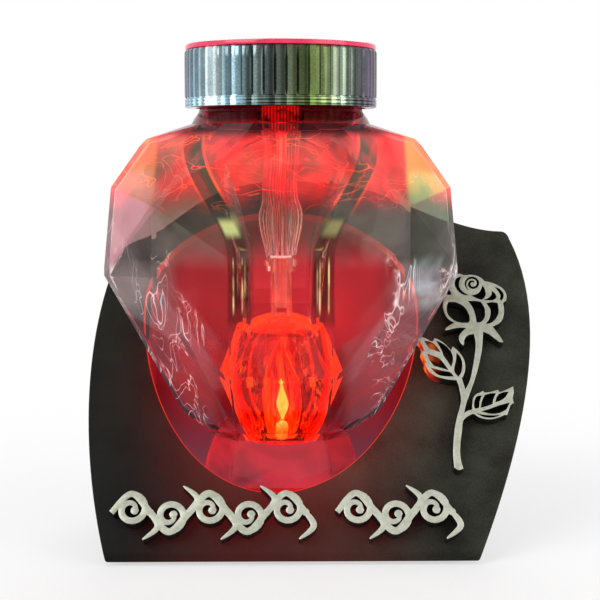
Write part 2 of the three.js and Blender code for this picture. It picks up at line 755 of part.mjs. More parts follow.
function glassJar() {
  const neck = turned([
    [0, jarShoulder - glassWall],
    [neckBaseRadius, jarShoulder - glassWall],
    [neckBaseRadius + neckFlare / 2, jarShoulder],
    [neckBaseRadius, jarShoulder + neckFlare],
    [neckRadius + neckFlare / 4, jarShoulder + 2 * neckFlare],
    [neckRadius, jarShoulder + 3 * neckFlare],
    [neckRadius, neckTop - glassWall / 4],
    [neckRadius - glassWall / 4, neckTop],
    [0, neckTop],
  ]);
  const body = bodyHull(0).subtract(cleft(0));
  const outer = body.add(footHull(0, 0)).add(toSolid(neck)).add(toSolid(neckThread()));
  const cavity = bodyHull(glassWall).subtract(cleft(glassWall));
  const bore = toSolid(drum(neckBore, jarShoulder - 2 * glassWall, neckTop + cutOverrun));
  return outer.subtract(cavity).subtract(footHull(glassWall, footBaseThickness)).subtract(bore);
}

function footOctagon(reach) {
  const halfWidth = footWidth / 2;
  const halfDepth = footDepth / 2;
  const corner = [halfWidth * footCornerShare.front + reach / 2, halfDepth * footCornerShare.side + reach / 2];
  return [
    [halfWidth + reach, corner[1]],
    [corner[0], halfDepth + reach],
    [-corner[0], halfDepth + reach],
    [-halfWidth - reach, corner[1]],
    [-halfWidth - reach, -corner[1]],
    [-corner[0], -halfDepth - reach],
    [corner[0], -halfDepth - reach],
    [halfWidth + reach, -corner[1]],
  ];
}

function footRing() {
  const shape = flatShape(footOctagon(footRingClearance + footRingWidth));
  shape.holes.push(flatShape(footOctagon(footRingClearance)));
  return extruded(shape, footRingHeight).translate(0, 0, floorPlateTop);
}

function footBedding() {
  return extruded(flatShape(footOctagon(0)), beddingThickness).translate(0, 0, floorPlateTop);
}

const jar = new THREE.Group();
piece(jar, "foot_bedding", footBedding(), "foam");
piece(jar, "foot_ring", footRing(), "foam");
piece(jar, "jar_glass", glassJar(), "glass");

// Lid: a ribbed ring over the neck, with a see-through cap pressed into its top
const insert = new THREE.Group();

function ribbedOutline() {
  const steps = ribSteps * lidRibCount;
  return Array.from({ length: steps }, (_, step) => {
    const turn = (2 * Math.PI * step) / steps;
    const wave = (1 + Math.cos(lidRibCount * turn)) / 2;
    const radius = lidRadius - lidRibDepth + lidRibDepth * Math.sqrt(wave);
    return [radius * Math.cos(turn), radius * Math.sin(turn)];
  });
}

function circlePoints(radius, sides = roundSides) {
  return Array.from({ length: sides }, (_, step) => {
    const turn = (2 * Math.PI * step) / sides;
    return [radius * Math.cos(turn), radius * Math.sin(turn)];
  });
}

function lidRing() {
  const bandTop = lidBottom + lidBandHeight;
  const grooveMiddle = (lidBottom + bandTop) / 2;
  const core = ring([
    [lidBore, lidBottom],
    [lidRadius - lidBandGroove, lidBottom],
    [lidRadius, grooveMiddle - lidBandGroove],
    [lidRadius - lidBandGroove, grooveMiddle],
    [lidRadius, grooveMiddle + lidBandGroove],
    [lidRadius, bandTop],
    [lidRadius - lidRibDepth, bandTop + lidBandGroove],
    [lidRadius - lidRibDepth, lidRingTop],
    [lidBore, lidRingTop],
    [lidBore, lidShoulderTop],
    [trayBore + trayWall, lidShoulderTop],
    [trayBore + trayWall, trayFlangeTop],
    [lidBore, trayFlangeTop],
  ]);
  const ribs = flatShape(ribbedOutline());
  ribs.holes.push(flatShape(circlePoints(lidBore + lidWall / 2)));
  const ribBottom = bandTop - lidBandGroove;
  const ribBand = extruded(ribs, lidRingTop - lidBandGroove - ribBottom).translate(0, 0, ribBottom);
  return toSolid(core).add(toSolid(ribBand));
}

const lidCapEdgeShares = { low: 0.6, high: 0.9 };

function lidCap() {
  const skirtRadius = lidBore - seatGap;
  return turned([
    [0, lidRingTop],
    [skirtRadius - lidCapSkirtWall, lidRingTop],
    [skirtRadius - lidCapSkirtWall, lidRingTop - lidCapSkirt],
    [skirtRadius, lidRingTop - lidCapSkirt],
    [skirtRadius, lidRingTop],
    [lidRadius - lidBandGroove, lidRingTop],
    [lidRadius - lidBandGroove, lidRingTop + lidCapThickness * lidCapEdgeShares.low],
    [lidRadius - 2 * lidBandGroove, lidRingTop + lidCapThickness * lidCapEdgeShares.high],
    [lidRadius - 4 * lidBandGroove, lidRingTop + lidCapThickness],
    [0, lidRingTop + lidCapThickness],
  ]);
}

piece(
  insert,
  "neck_gasket",
  ring([
    [neckBore, neckTop],
    [neckRadius - glassWall / 4, neckTop],
    [neckRadius - glassWall / 4, trayFlangeBottom],
    [neckBore, trayFlangeBottom],
  ]),
  "rubber",
);
piece(insert, "lid_ring", lidRing(), "silver");
piece(insert, "lid_cap", lidCap(), "redPlastic");

// Battery tray and what lies in it
const cellBottom = trayFloorTop + cradleHeight;
const cellMiddle = cellBottom + cellDiameter / 2;
const stemBore = stemEnd / 2 - stemWall;
const wireBore = wireSpacing / 2 + wireDiameter;

function batteryTray() {
  const cup = turned([
    [0, trayBottom],
    [trayRadius, trayBottom],
    [trayRadius, trayFlangeBottom],
    [neckRadius - seatGap, trayFlangeBottom],
    [neckRadius - seatGap, trayFlangeTop],
    [trayBore, trayFlangeTop],
    [trayBore, trayFloorTop],
    [0, trayFloorTop],
  ]);
  const cradle = (x) =>
    toSolid(
      block(
        [x - cradleWidth / 2, -cellSpacing / 2 - cradleWidth, trayFloorTop - trayFloor / 2],
        [x + cradleWidth / 2, cellSpacing / 2 + cradleWidth, cellBottom - seatGap],
      ),
    );
  const bore = drum(wireBore, trayBottom - cutOverrun, trayFloorTop + cutOverrun, smallSides);
  return toSolid(cup).add(cradle(-cellLength / 4)).add(cradle(cellLength / 4)).subtract(toSolid(bore));
}

// A round cell that lies along X, its raised contact towards +X.
function cell() {
  const radius = cellDiameter / 2;
  const half = cellLength / 2;
  return turned(
    [
      [0, -half],
      [radius - cellNub / 2, -half],
      [radius, cellNub / 2 - half],
      [radius, half - 1.5 * cellNub],
      [radius - cellNub / 2, half - cellNub],
      [cellNubRadius, half - cellNub],
      [cellNubRadius, half],
      [0, half],
    ],
    slimSides,
  ).rotateY(Math.PI / 2);
}

piece(insert, "battery_tray", batteryTray(), "darkPlastic");
[-1, 1].forEach((side, index) => {
  const mesh = piece(insert, `battery_cell_${index + 1}`, cell(), "cell");
  mesh.position.set(0, (side * cellSpacing) / 2, cellMiddle);
  if (side > 0) mesh.rotation.z = Math.PI;
});

const contactX = cellLength / 2 + seatGap;
const contactPlate = (x, y, width) =>
  block(
    [x, y - width / 2, trayFloorTop],
    [x + contactThickness, y + width / 2, trayFloorTop + contactHeight],
  );
const bridgeWidth = cellSpacing + contactWidth - contactThickness;
piece(insert, "contact_bridge", contactPlate(-contactX - contactThickness, 0, bridgeWidth), "brass");
piece(insert, "contact_plus", contactPlate(contactX, -cellSpacing / 2, contactWidth), "brass");
piece(insert, "contact_minus", contactPlate(contactX, cellSpacing / 2, contactWidth), "brass");

const segmentMiddle = (trayBore + cellSpacing / 2 + cellDiameter / 2) / 2;
const boardTop = trayFloorTop + boardThickness;
piece(
  insert,
  "driver_board",
  block(
    [-boardLength / 2, -segmentMiddle - boardWidth / 2, trayFloorTop],
    [boardLength / 2, -segmentMiddle + boardWidth / 2, boardTop],
  ),
  "circuit",
);
piece(
  insert,
  "driver_chip",
  block(
    [-chipLength / 2, -segmentMiddle - chipWidth / 2, boardTop],
    [chipLength / 2, -segmentMiddle + chipWidth / 2, boardTop + chipHeight],
  ),
  "darkPlastic",
);

// Slide switch: the slider's tongue runs in the housing's slot
const switchTop = trayFloorTop + switchHeight;
const sliderStartX = -(switchTravel + sliderLength) / 2;

function switchHousing() {
  const body = block(
    [-switchLength / 2, segmentMiddle - switchWidth / 2, trayFloorTop],
    [switchLength / 2, segmentMiddle + switchWidth / 2, switchTop],
  );
  const slot = block(
    [sliderStartX - seatGap, segmentMiddle - sliderWidth / 2 - seatGap, switchTop - sliderTongue - seatGap],
    [-sliderStartX + seatGap, segmentMiddle + sliderWidth / 2 + seatGap, switchTop + cutOverrun],
  );
  return toSolid(body).subtract(toSolid(slot));
}

function switchSlider() {
  const knobTop = switchTop + sliderHeight;
  const knob = block(
    [sliderStartX, segmentMiddle - sliderWidth / 2, switchTop - sliderTongue],
    [sliderStartX + sliderLength, segmentMiddle + sliderWidth / 2, knobTop],
  );
  const rib = block(
    [sliderStartX + sliderLength / 3, segmentMiddle - sliderWidth / 2, knobTop - sliderRib],
    [sliderStartX + (2 * sliderLength) / 3, segmentMiddle + sliderWidth / 2, knobTop + sliderRib],
  );
  return toSolid(knob).add(toSolid(rib));
}

piece(insert, "switch_housing", switchHousing(), "darkPlastic");
piece(insert, "switch_slider", switchSlider(), "redPlastic");

// Stem: a socket under the tray, a clear fluted tube, and a collar with bayonet slots
function stemSocket() {
  const neckBottom = socketBottom + socketLowerHeight;
  const neckTopLevel = neckBottom + socketNeckHeight;
  const flange = socketFlange / 2;
  const neck = socketNeck / 2;
  const ribs = [1, 2, 3].flatMap((count) => {
    const z = neckBottom + (socketNeckHeight * count) / 4;
    return [
      [neck - socketRibDepth, z - socketRibDepth / 2],
      [neck, z],
      [neck - socketRibDepth, z + socketRibDepth / 2],
    ];
  });
  return ring([
    [stemSpigot / 2 + seatGap, socketBottom],
    [flange - socketRibDepth, socketBottom],
    [flange, socketBottom + socketRibDepth],
    [flange, neckBottom],
    ...ribs,
    [flange, neckTopLevel],
    [flange, trayBottom],
    [wireBore, trayBottom],
    [wireBore, socketBottom + stemSpigotHeight + 2 * seatGap],
    [stemSpigot / 2 + seatGap, socketBottom + stemSpigotHeight + 2 * seatGap],
  ], slimSides);
}

const stemProfileShares = { taper: 0.1, straight: 0.56, flare: 0.69 };

function stemUpper() {
  const top = socketBottom - seatGap;
  const length = top - collarTop;
  const at = (share) => top - length * share;
  const outer = [
    [stemEnd / 2, collarTop],
    [stemFlare / 2, at(stemProfileShares.flare)],
    [stemMiddle / 2, at(stemProfileShares.straight)],
    [stemMiddle / 2, at(stemProfileShares.taper)],
    [stemTop / 2, top],
  ];
  const tube = ring([
    [stemBore, collarTop],
    ...outer,
    [stemSpigot / 2, top],
    [stemSpigot / 2, socketBottom + stemSpigotHeight],
    [stemBore, socketBottom + stemSpigotHeight],
  ], slimSides);
  const places = tube.attributes.position;
  for (let index = 0; index < places.count; index++) {
    const x = places.getX(index);
    const y = places.getY(index);
    const radius = Math.hypot(x, y);
    const side = Math.round((Math.atan2(y, x) * slimSides) / (2 * Math.PI));
    const inWall = radius > stemBore + stemWall / 2 && places.getZ(index) < top;
    const scale = inWall && side % 2 ? 1 - stemFluteShare : 1;
    places.setXY(index, x * scale, y * scale);
  }
  return tube;
}

const collarRadius = stemEnd / 2;
const collarBore = collarRadius - collarWall;
const studRadius = studDiameter / 2;
const studHeight = lowerStemTop - studDiameter;
const slotHalfHeight = studRadius + seatGap;
const slotMargin = Math.asin((studRadius + seatGap) / collarBore);

// A wedge of the collar's wall between two angles and two heights, on both sides of the axis.
function slotWedge(fromAngle, toAngle, bottom, top) {
  const reach = collarRadius + cutOverrun;
  const arc = Array.from({ length: slotSteps + 1 }, (_, step) => {
    const angle = fromAngle + ((toAngle - fromAngle) * step) / slotSteps;
    return [reach * Math.cos(angle), reach * Math.sin(angle)];
  });
  const wedge = toSolid(extruded(flatShape([[0, 0], ...arc]), top - bottom).translate(0, 0, bottom));
  return wedge.add(wedge.rotate([0, 0, 180]));
}

function stemCollar() {
  const sleeve = toSolid(
    ring([
      [collarBore, collarBottom],
      [collarRadius, collarBottom],
      [collarRadius, collarTop],
      [collarBore, collarTop],
    ], slimSides),
  );
  const twist = THREE.MathUtils.degToRad(twistAngle);
  const slotTop = studHeight + slotHalfHeight;
  const along = slotWedge(-slotMargin, twist + slotMargin, studHeight - slotHalfHeight, slotTop);
  const entry = slotWedge(twist - slotMargin, twist + slotMargin, collarBottom - cutOverrun, slotTop);
  return sleeve.subtract(along).subtract(entry);
}

piece(insert, "stem_socket", stemSocket(), "darkPlastic");
piece(insert, "stem_upper", stemUpper(), "clearPlastic");
piece(insert, "stem_collar", stemCollar(), "clearPlastic");
piece(
  insert,
  "stem_contact",
  drum(collarBore - seatGap, collarTop - contactDiscThickness, collarTop, slimSides),
  "brass",
);

// Two wires from the driver board, under the cells and down the stem to its contact disc
function wire(side) {
  const x = (side * wireSpacing) / 2;
  const lie = trayFloorTop + seatGap + wireDiameter / 2;
  const start = -segmentMiddle + boardWidth / 2 + seatGap;
  const points = [
    [x, start, lie],
    [x, start / 2, lie],
    [x, -2 * wireDiameter, lie],
    [x, -wireDiameter / 2, lie - wireDiameter],
    [x, 0, trayBottom - wireDiameter],
    [x, 0, (trayBottom + collarTop) / 2],
    [x, 0, collarTop + seatGap],
  ].map(([px, py, pz]) => new THREE.Vector3(px, py, pz));
  return rodAlong(new THREE.CatmullRomCurve3(points, false, "centripetal"), wireDiameter, wireSteps);
}

piece(insert, "wire_1", wire(-1), "wire");
piece(insert, "wire_2", wire(1), "wire");

// Lamp: lower stem with bayonet studs, globe, flame and the conductors that feed it
const lamp = new THREE.Group();
const globeInnerTop = globeTop - globeWall;
const lowerStemRadius = lowerStemDiameter / 2;
const lowerStemHead = collarBore - seatGap;

function stemLower() {
  const flangeTop = globeInnerTop - seatGap;
  const flangeRadius = lowerStemRadius + bushFlangeReach;
  const tube = toSolid(
    ring([
      [lowerStemBore / 2, flangeTop - bushFlange],
      [flangeRadius, flangeTop - bushFlange],
      [flangeRadius, flangeTop],
      [lowerStemRadius, flangeTop],
      [lowerStemRadius, collarBottom - seatGap],
      [lowerStemHead, collarBottom + seatGap],
      [lowerStemHead, lowerStemTop],
      [lowerStemBore / 2, lowerStemTop],
    ], slimSides),
  );
  const reach = collarRadius + studReach;
  const studs = drum(studRadius, -reach, reach, smallSides).rotateY(Math.PI / 2);
  const bore = drum(lowerStemBore / 2, globeBottom, collarTop, slimSides);
  const windowBottom = globeTop + seatGap;
  const window = block(
    [-stemWindowWidth / 2, -lowerStemDiameter, windowBottom],
    [stemWindowWidth / 2, lowerStemDiameter, windowBottom + stemWindowHeight],
  );
  return tube
    .add(toSolid(studs.translate(0, 0, studHeight)))
    .subtract(toSolid(bore))
    .subtract(toSolid(window));
}

// The globe's rings of corners: height share from the top, radius share of half its width, half a step turned.
const globeRingShares = [
  [0, 0.27, 0],
  [0.08, 0.72, 0.5],
  [0.47, 1, 0],
  [0.865, 0.68, 0.5],
  [1, 0.51, 0],
];

function globeHull(inset, lowerBy) {
  const corners = globeRingShares.flatMap(([heightShare, radiusShare, turnShare]) => {
    const z = globeTop - inset - (globeHeight - inset - lowerBy) * heightShare;
    const radius = (globeWidth / 2) * radiusShare - inset * Math.min(1, 2 * radiusShare);
    return Array.from({ length: globeSides }, (_, step) => {
      const angle = (2 * Math.PI * (step + turnShare)) / globeSides;
      return new THREE.Vector3(radius * Math.cos(angle), radius * Math.sin(angle), z);
    });
  });
  return toSolid(new ConvexGeometry(corners));
}

function globeShell() {
  const hole = (radius, bottom, top) =>
    toSolid(drum(radius + seatGap, bottom - cutOverrun, top + cutOverrun, slimSides));
  return globeHull(0, 0)
    .subtract(globeHull(globeWall, globeWall))
    .subtract(hole(lowerStemRadius, globeInnerTop, globeTop))
    .subtract(hole(globeBaseRadius, globeBottom, globeBottom + globeWall));
}

const lampBoardBottom = globeBottom + globeWall;
const lampBoardTop = lampBoardBottom + lampBoardThickness;
const lampBoardRadius = globeBaseRadius - lampBoardMargin;

// A teardrop that is widest at two fifths of its height and hollow at its foot.
const flameProfileShares = [
  [0.72, 0],
  [0.9, 0.15],
  [1, 0.36],
  [0.92, 0.52],
  [0.7, 0.68],
  [0.42, 0.83],
  [0.18, 0.94],
];

function flameLens() {
  const outer = flameProfileShares.map(([radius, height]) => [
    flameRadius * radius,
    lampBoardTop + flameHeight * height,
  ]);
  return turned([
    [0, lampBoardTop + emitterHeight + flameWall],
    [emitterRadius + seatGap, lampBoardTop + emitterHeight],
    [emitterRadius + flameWall, lampBoardTop],
    ...outer,
    [0, lampBoardTop + flameHeight],
  ], slimSides);
}

// The emitter's dome starts where its side ends, as shares of its radius and height.
const emitterDomeShares = { side: 0.6, radius: 0.7, height: 0.85 };

function lightEmitter() {
  const { side, radius, height } = emitterDomeShares;
  return turned([
    [0, lampBoardTop],
    [emitterRadius, lampBoardTop],
    [emitterRadius, lampBoardTop + emitterHeight * side],
    [emitterRadius * radius, lampBoardTop + emitterHeight * height],
    [0, lampBoardTop + emitterHeight - seatGap],
  ], smallSides);
}

// A conductor bows out to the clip that steadies it: shares of its spread and of the globe's height.
const conductorShares = { elbowSpread: 0.8, elbowDrop: 0.12, bowTop: 0.6, clip: 0.46, bowFoot: 0.35 };

function conductor(side) {
  const { elbowSpread, elbowDrop, bowTop, clip, bowFoot } = conductorShares;
  const start = globeInnerTop - 2 * seatGap - bushFlange;
  const headX = side * (lowerStemRadius + conductorThickness / 2);
  const bowX = side * conductorSpread;
  const footX = side * (lampBoardRadius - conductorThickness);
  const points = [
    [headX, start],
    [headX, start - bushFlange],
    [bowX * elbowSpread, start - globeHeight * elbowDrop],
    [bowX, globeBottom + globeHeight * bowTop],
    [bowX, globeBottom + globeHeight * bowFoot],
    [footX, lampBoardTop + 2 * conductorThickness],
    [footX, lampBoardTop + seatGap],
  ].map(([x, z]) => new THREE.Vector3(x, 0, z));
  const path = new THREE.CatmullRomCurve3(points, false, "centripetal");
  const rod = rodAlong(path, conductorThickness, conductorSteps);
  const clipMiddle = globeBottom + globeHeight * clip;
  const holder = block(
    [bowX - clipSize / 2, -clipSize / 2, clipMiddle - clipHeight / 2],
    [bowX + clipSize / 2, clipSize / 2, clipMiddle + clipHeight / 2],
  );
  return toSolid(rod).add(toSolid(holder));
}

piece(lamp, "stem_lower", stemLower(), "clearPlastic");
piece(lamp, "globe_shell", globeShell(), "globe");
piece(lamp, "globe_base", drum(globeBaseRadius, globeBottom, lampBoardBottom, slimSides), "redPlastic");
piece(lamp, "lamp_board", drum(lampBoardRadius, lampBoardBottom, lampBoardTop, slimSides), "circuit");
piece(lamp, "light_emitter", lightEmitter(), "flame");
piece(lamp, "flame_lens", flameLens(), "flame");
piece(lamp, "conductor_left", conductor(-1), "brass");
piece(lamp, "conductor_right", conductor(1), "brass");

const memorialLamp = new THREE.Group();
memorialLamp.add(stand, jar, insert, lamp);

export default memorialLamp;
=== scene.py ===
import math

import bpy
from mathutils import Matrix, Vector
from mathutils.geometry import interpolate_bezier


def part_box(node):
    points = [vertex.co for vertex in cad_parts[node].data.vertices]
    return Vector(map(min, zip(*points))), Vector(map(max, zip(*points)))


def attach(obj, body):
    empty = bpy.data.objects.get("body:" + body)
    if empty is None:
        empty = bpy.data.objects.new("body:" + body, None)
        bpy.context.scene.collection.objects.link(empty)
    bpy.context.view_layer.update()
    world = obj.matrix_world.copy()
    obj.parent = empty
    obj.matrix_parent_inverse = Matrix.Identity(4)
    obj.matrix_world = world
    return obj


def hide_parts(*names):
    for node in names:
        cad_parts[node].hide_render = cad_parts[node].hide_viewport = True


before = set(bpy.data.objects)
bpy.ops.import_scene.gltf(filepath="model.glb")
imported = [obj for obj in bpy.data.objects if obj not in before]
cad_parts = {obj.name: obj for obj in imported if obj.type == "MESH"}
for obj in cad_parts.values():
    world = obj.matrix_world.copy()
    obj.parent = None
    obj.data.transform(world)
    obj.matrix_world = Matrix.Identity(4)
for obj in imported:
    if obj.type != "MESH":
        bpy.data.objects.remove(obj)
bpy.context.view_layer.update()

# Front panel: one stiff board with an egg-shaped opening for the jar, covered with thin charcoal
# leathercloth that is pulled over its edges. It leans back round the jar on its bevelled foot.
MM = 0.001
MERGED_WITHIN = 0.001 * MM
PANEL_WIDTH = 193 * MM
PANEL_HEIGHT = 185.45 * MM
PANEL_THICKNESS = 6 * MM
PANEL_FOOT = 1 * MM
PANEL_NOSE = 5 * MM
PANEL_EDGE = 0.9 * MM
OPENING_BOTTOM = 31.81 * MM
OPENING_TOP = 166.46 * MM
OPENING_HALF_WIDTH = 60.04 * MM
OPENING_SHIFT = -2.4 * MM
OPENING_WAIST_SHARE = 0.643
PANEL_START_SHARE = (-0.358, -0.03)
PANEL_FOOT_SHARE = (0.399, -0.03)
PANEL_CURVE_SHARES = [
    [(0.497, 0.195), (0.633, 0.57), (0.541, 0.822)],
    [(0.536, 0.846), (0.52, 0.846)],
    [(0.37, 0.85), (0.25, 1), (0.02, 1)],
    [(-0.2, 1), (-0.25, 0.835), (-0.36, 0.815)],
    [(-0.372, 0.812), (-0.376, 0.795)],
    [(-0.453, 0.57), (-0.443, 0.245), PANEL_START_SHARE],
]
SIDE_STEPS, CORNER_STEPS = 28, 8
FLAME = (0, 0, 0.066)


def select_only(piece=None):
    """Leaves one piece selected and active, or nothing."""
    if bpy.context.object and bpy.context.object.mode != "OBJECT":
        bpy.ops.object.mode_set(mode="OBJECT")
    bpy.ops.object.select_all(action="DESELECT")
    if piece:
        piece.select_set(True)
        bpy.context.view_layer.objects.active = piece


def open_edit(piece):
    """Opens a piece in edit mode with all of it selected."""
    select_only(piece)
    bpy.ops.object.mode_set(mode="EDIT")
    bpy.ops.mesh.select_mode(type="VERT")
    bpy.ops.mesh.select_all(action="SELECT")


def close_edit():
    """Merges doubled points, turns the faces outwards and leaves edit mode."""
    bpy.ops.mesh.select_all(action="SELECT")
    bpy.ops.mesh.remove_doubles(threshold=MERGED_WITHIN)
    bpy.ops.mesh.dissolve_degenerate(threshold=MERGED_WITHIN)
    bpy.ops.mesh.delete_loose(use_verts=True, use_edges=True, use_faces=False)
    bpy.ops.mesh.select_all(action="SELECT")
    bpy.ops.mesh.normals_make_consistent(inside=False)
    bpy.ops.object.mode_set(mode="OBJECT")


def closed_loop(name, points):
    """A closed line through points: a circle with that many corners, drawn into shape."""
    select_only()
    bpy.ops.mesh.primitive_circle_add(vertices=len(points), radius=MM, location=(0, 0, 0))
    piece = bpy.context.object
    piece.name = piece.data.name = name
    for corner, point in zip(piece.data.vertices, points):
        corner.co = point
    return piece


def slab(name, points, depth):
    """A filled outline, pushed out along the vector depth."""
    piece = closed_loop(name, points)
    open_edit(piece)
    bpy.ops.mesh.edge_face_add()
    bpy.ops.mesh.extrude_region_move(TRANSFORM_OT_translate={"value": depth})
    close_edit()
    return piece


def apply_modifier(piece, kind, **settings):
    modifier = piece.modifiers.new(kind.title(), kind)
    for name, value in settings.items():
        setattr(modifier, name, value)
    select_only(piece)
    bpy.ops.object.modifier_apply(modifier=modifier.name)


def combine(piece, other, operation="DIFFERENCE"):
    """Cuts the other piece out of a piece, or joins it on, and drops the other."""
    joined = operation == "UNION"
    apply_modifier(piece, "BOOLEAN", object=other, operation=operation, solver="EXACT", use_self=joined)
    bpy.data.objects.remove(other)


def round_edges(piece, width, angle=30, segments=2, slot=-1):
    apply_modifier(
        piece, "BEVEL", width=width, segments=segments, limit_method="ANGLE",
        angle_limit=math.radians(angle), use_clamp_overlap=True, material=slot,
    )


def fit(piece, body, slot, finish, *nodes, smooth=30):
    """Gives a piece its finish and its body, in place of the CAD nodes that it stands for; the slot is not used."""
    if finish:
        piece.data.materials.clear()
        piece.data.materials.append(finish)
    select_only(piece)
    bpy.ops.object.shade_smooth_by_angle(angle=math.radians(smooth))
    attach(piece, body)
    if nodes:
        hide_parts(*nodes)


def plug(socket, value):
    """Links a socket to another node's output, or sets it to a value."""
    if isinstance(value, bpy.types.NodeSocket):
        socket.id_data.links.new(value, socket)
    else:
        socket.default_value = value


def paint(node, **values):
    """Plugs values into a node's sockets, which are named with _ for a space."""
    for label, value in values.items():
        plug(node.inputs[label.replace("_", " ")], value)


def add_node(tree, kind, inputs=None, **settings):
    """A shader node with its settings, and its inputs set or linked."""
    made = tree.nodes.new("ShaderNode" + kind)
    for name, value in settings.items():
        setattr(made, name, value)
    for name, value in (inputs or {}).items():
        plug(made.inputs[name], value)
    return made


def new_effect(name, inputs, outputs):
    """An empty effect group with named sockets, as (group, its inputs, its output node)."""
    group = bpy.data.node_groups.new(name, "ShaderNodeTree")
    for label, (kind, value) in inputs.items():
        socket = group.interface.new_socket(name=label, in_out="INPUT", socket_type="NodeSocket" + kind)
        socket.default_value = value
    for label, kind in outputs.items():
        group.interface.new_socket(name=label, in_out="OUTPUT", socket_type="NodeSocket" + kind)
    return group, group.nodes.new("NodeGroupInput").outputs, group.nodes.new("NodeGroupOutput")


def add_effect(tree, group, **values):
    """Places an effect group in a material with its own values."""
    made = tree.nodes.new("ShaderNodeGroup")
    made.node_tree = group
    paint(made, **values)
    return made.outputs


def tree_of(*values):
    """The node tree that the first socket among values belongs to."""
    return next(value.id_data for value in values if isinstance(value, bpy.types.NodeSocket))


def maths(operation, *values):
    return add_node(tree_of(*values), "Math", dict(enumerate(values)), operation=operation).outputs[0]


def vectors(operation, *values):
    """One step of vector maths, which gives a number where it measures something."""
    made = add_node(tree_of(*values), "VectorMath", dict(enumerate(values)), operation=operation)
    return made.outputs["Value" if operation in ("DISTANCE", "DOT_PRODUCT", "LENGTH") else "Vector"]


def product(first, *others):
    for other in others:
        first = maths("MULTIPLY", first, other)
    return first


def off(value, middle=0):
    """How far a value is off a middle, to either side."""
    return maths("ABSOLUTE", maths("SUBTRACT", value, middle))


def level(value, start, end, low=0, high=1, kind="LINEAR"):
    """A step of a value from low at start to high at end."""
    inputs = {"Value": value, "From Min": start, "From Max": end, "To Min": low, "To Max": high}
    return add_node(tree_of(value), "MapRange", inputs, interpolation_type=kind).outputs["Result"]


def between(value, start, end, low=0, high=1):
    """A step with soft ends."""
    return level(value, start, end, low, high, "SMOOTHSTEP")


def rise(place, start, end, low=0, high=1):
    """A soft step along a place, with its start and end in millimetres."""
    return between(place, start * MM, end * MM, low, high)


def strip(place, start, full, fading, end):
    """One along a strip of places and zero beside it, with soft ends, in millimetres."""
    return product(rise(place, start, full), rise(place, end, fading))


def noise(place, scale, detail, distortion=0, roughness=0.5):
    inputs = {"Vector": place, "Scale": scale, "Detail": detail, "Distortion": distortion, "Roughness": roughness}
    return add_node(tree_of(place), "TexNoise", inputs).outputs["Fac"]


def mixed(share, first, second):
    inputs = {"Factor": share, "A": first, "B": second}
    return add_node(tree_of(share), "Mix", inputs, data_type="RGBA").outputs["Result"]


def tinted(shade, share):
    """A colour times a changing share."""
    inputs = {0: shade[:3] if isinstance(shade, tuple) else shade, "Scale": share}
    return add_node(tree_of(share), "VectorMath", inputs, operation="SCALE").outputs["Vector"]


def lights(*layers):
    """Lights added up: each is a colour, or a tone with the mask that it shows under."""
    first, *others = [tinted(*layer) if isinstance(layer, tuple) else layer for layer in layers]
    for other in others:
        first = vectors("ADD", first, other)
    return first


def place_in(tree):
    """The place on the piece, and its X, Y and Z."""
    place = add_node(tree, "TexCoord").outputs["Object"]
    return place, *add_node(tree, "SeparateXYZ", {"Vector": place}).outputs


def facing(tree, aim, side="Normal"):
    """How squarely the surface looks one way."""
    return vectors("DOT_PRODUCT", add_node(tree, "NewGeometry").outputs[side], aim)


def relief(shader, height, strength, depth):
    """Raises a height on a finish, to a depth in millimetres."""
    inputs = {"Height": height, "Strength": strength, "Distance": depth * MM}
    paint(shader, Normal=add_node(tree_of(height), "Bump", inputs).outputs["Normal"])


def colour(*screen):
    """A colour from screen values of 0 to 255."""
    shade = [((value / 255 + 0.055) / 1.055) ** 2.4 if value > 10 else value / 3295 for value in screen]
    return (*shade, 1)


# Fine grain: two scales of mottling that give a colour, a roughness and a height.
grain, given, results = new_effect(
    "Fine grain",
    {
        "Scale": ("Float", 900), "Dark": ("Color", (0, 0, 0, 1)), "Light": ("Color", (1, 1, 1, 1)),
        "Rough low": ("Float", 0.4), "Rough high": ("Float", 0.7),
    },
    {"Color": "Color", "Roughness": "Float", "Height": "Float"},
)
place = add_node(grain, "TexCoord").outputs["Object"]
fine = noise(place, given["Scale"], 5, roughness=0.65)
broad = noise(place, product(given["Scale"], 0.04), 3)
tone = mixed(level(maths("ADD", fine, broad), 0.75, 1.25), given["Dark"], given["Light"])
rough = level(fine, 0.3, 0.7, given["Rough low"], given["Rough high"])
paint(results, Color=tone, Roughness=rough, Height=fine)

# Flame glow: red light that fades with the distance from the flame and breaks into soft patches.
glow, given, results = new_effect(
    "Flame glow",
    {
        "Reach": ("Float", 0.1), "Near": ("Color", (1, 0.1, 0.02, 1)), "Far": ("Color", (0.3, 0.01, 0.02, 1)),
        "Patches": ("Float", 0.5), "Patch scale": ("Float", 30),
    },
    {"Color": "Color"},
)
place = add_node(glow, "TexCoord").outputs["Object"]
fade = between(vectors("DISTANCE", place, FLAME), 0, given["Reach"], 1, 0)
patch = level(noise(place, given["Patch scale"], 4, 0.6), 0.35, 0.65)
lit = product(fade, maths("SUBTRACT", 1, product(patch, given["Patches"])))
paint(results, Color=tinted(mixed(fade, given["Far"], given["Near"]), lit))


def new_finish(name, **constants):
    """A material, its node tree and its Principled shader with the constants set."""
    finish = bpy.data.materials.new(name)
    finish.use_nodes = True
    shader = finish.node_tree.nodes["Principled BSDF"]
    paint(shader, **constants)
    return finish, finish.node_tree, shader


def grained(name, scale, dark, light, rough, **constants):
    """A finish with the fine grain in its colour and its roughness, and the grain's outputs."""
    finish, tree, shader = new_finish(name, **constants)
    surface = add_effect(
        tree, grain, Scale=scale, Dark=colour(*dark), Light=colour(*light), Rough_low=rough[0], Rough_high=rough[1],
    )
    paint(shader, Base_Color=surface["Color"], Roughness=surface["Roughness"])
    return finish, tree, shader, surface


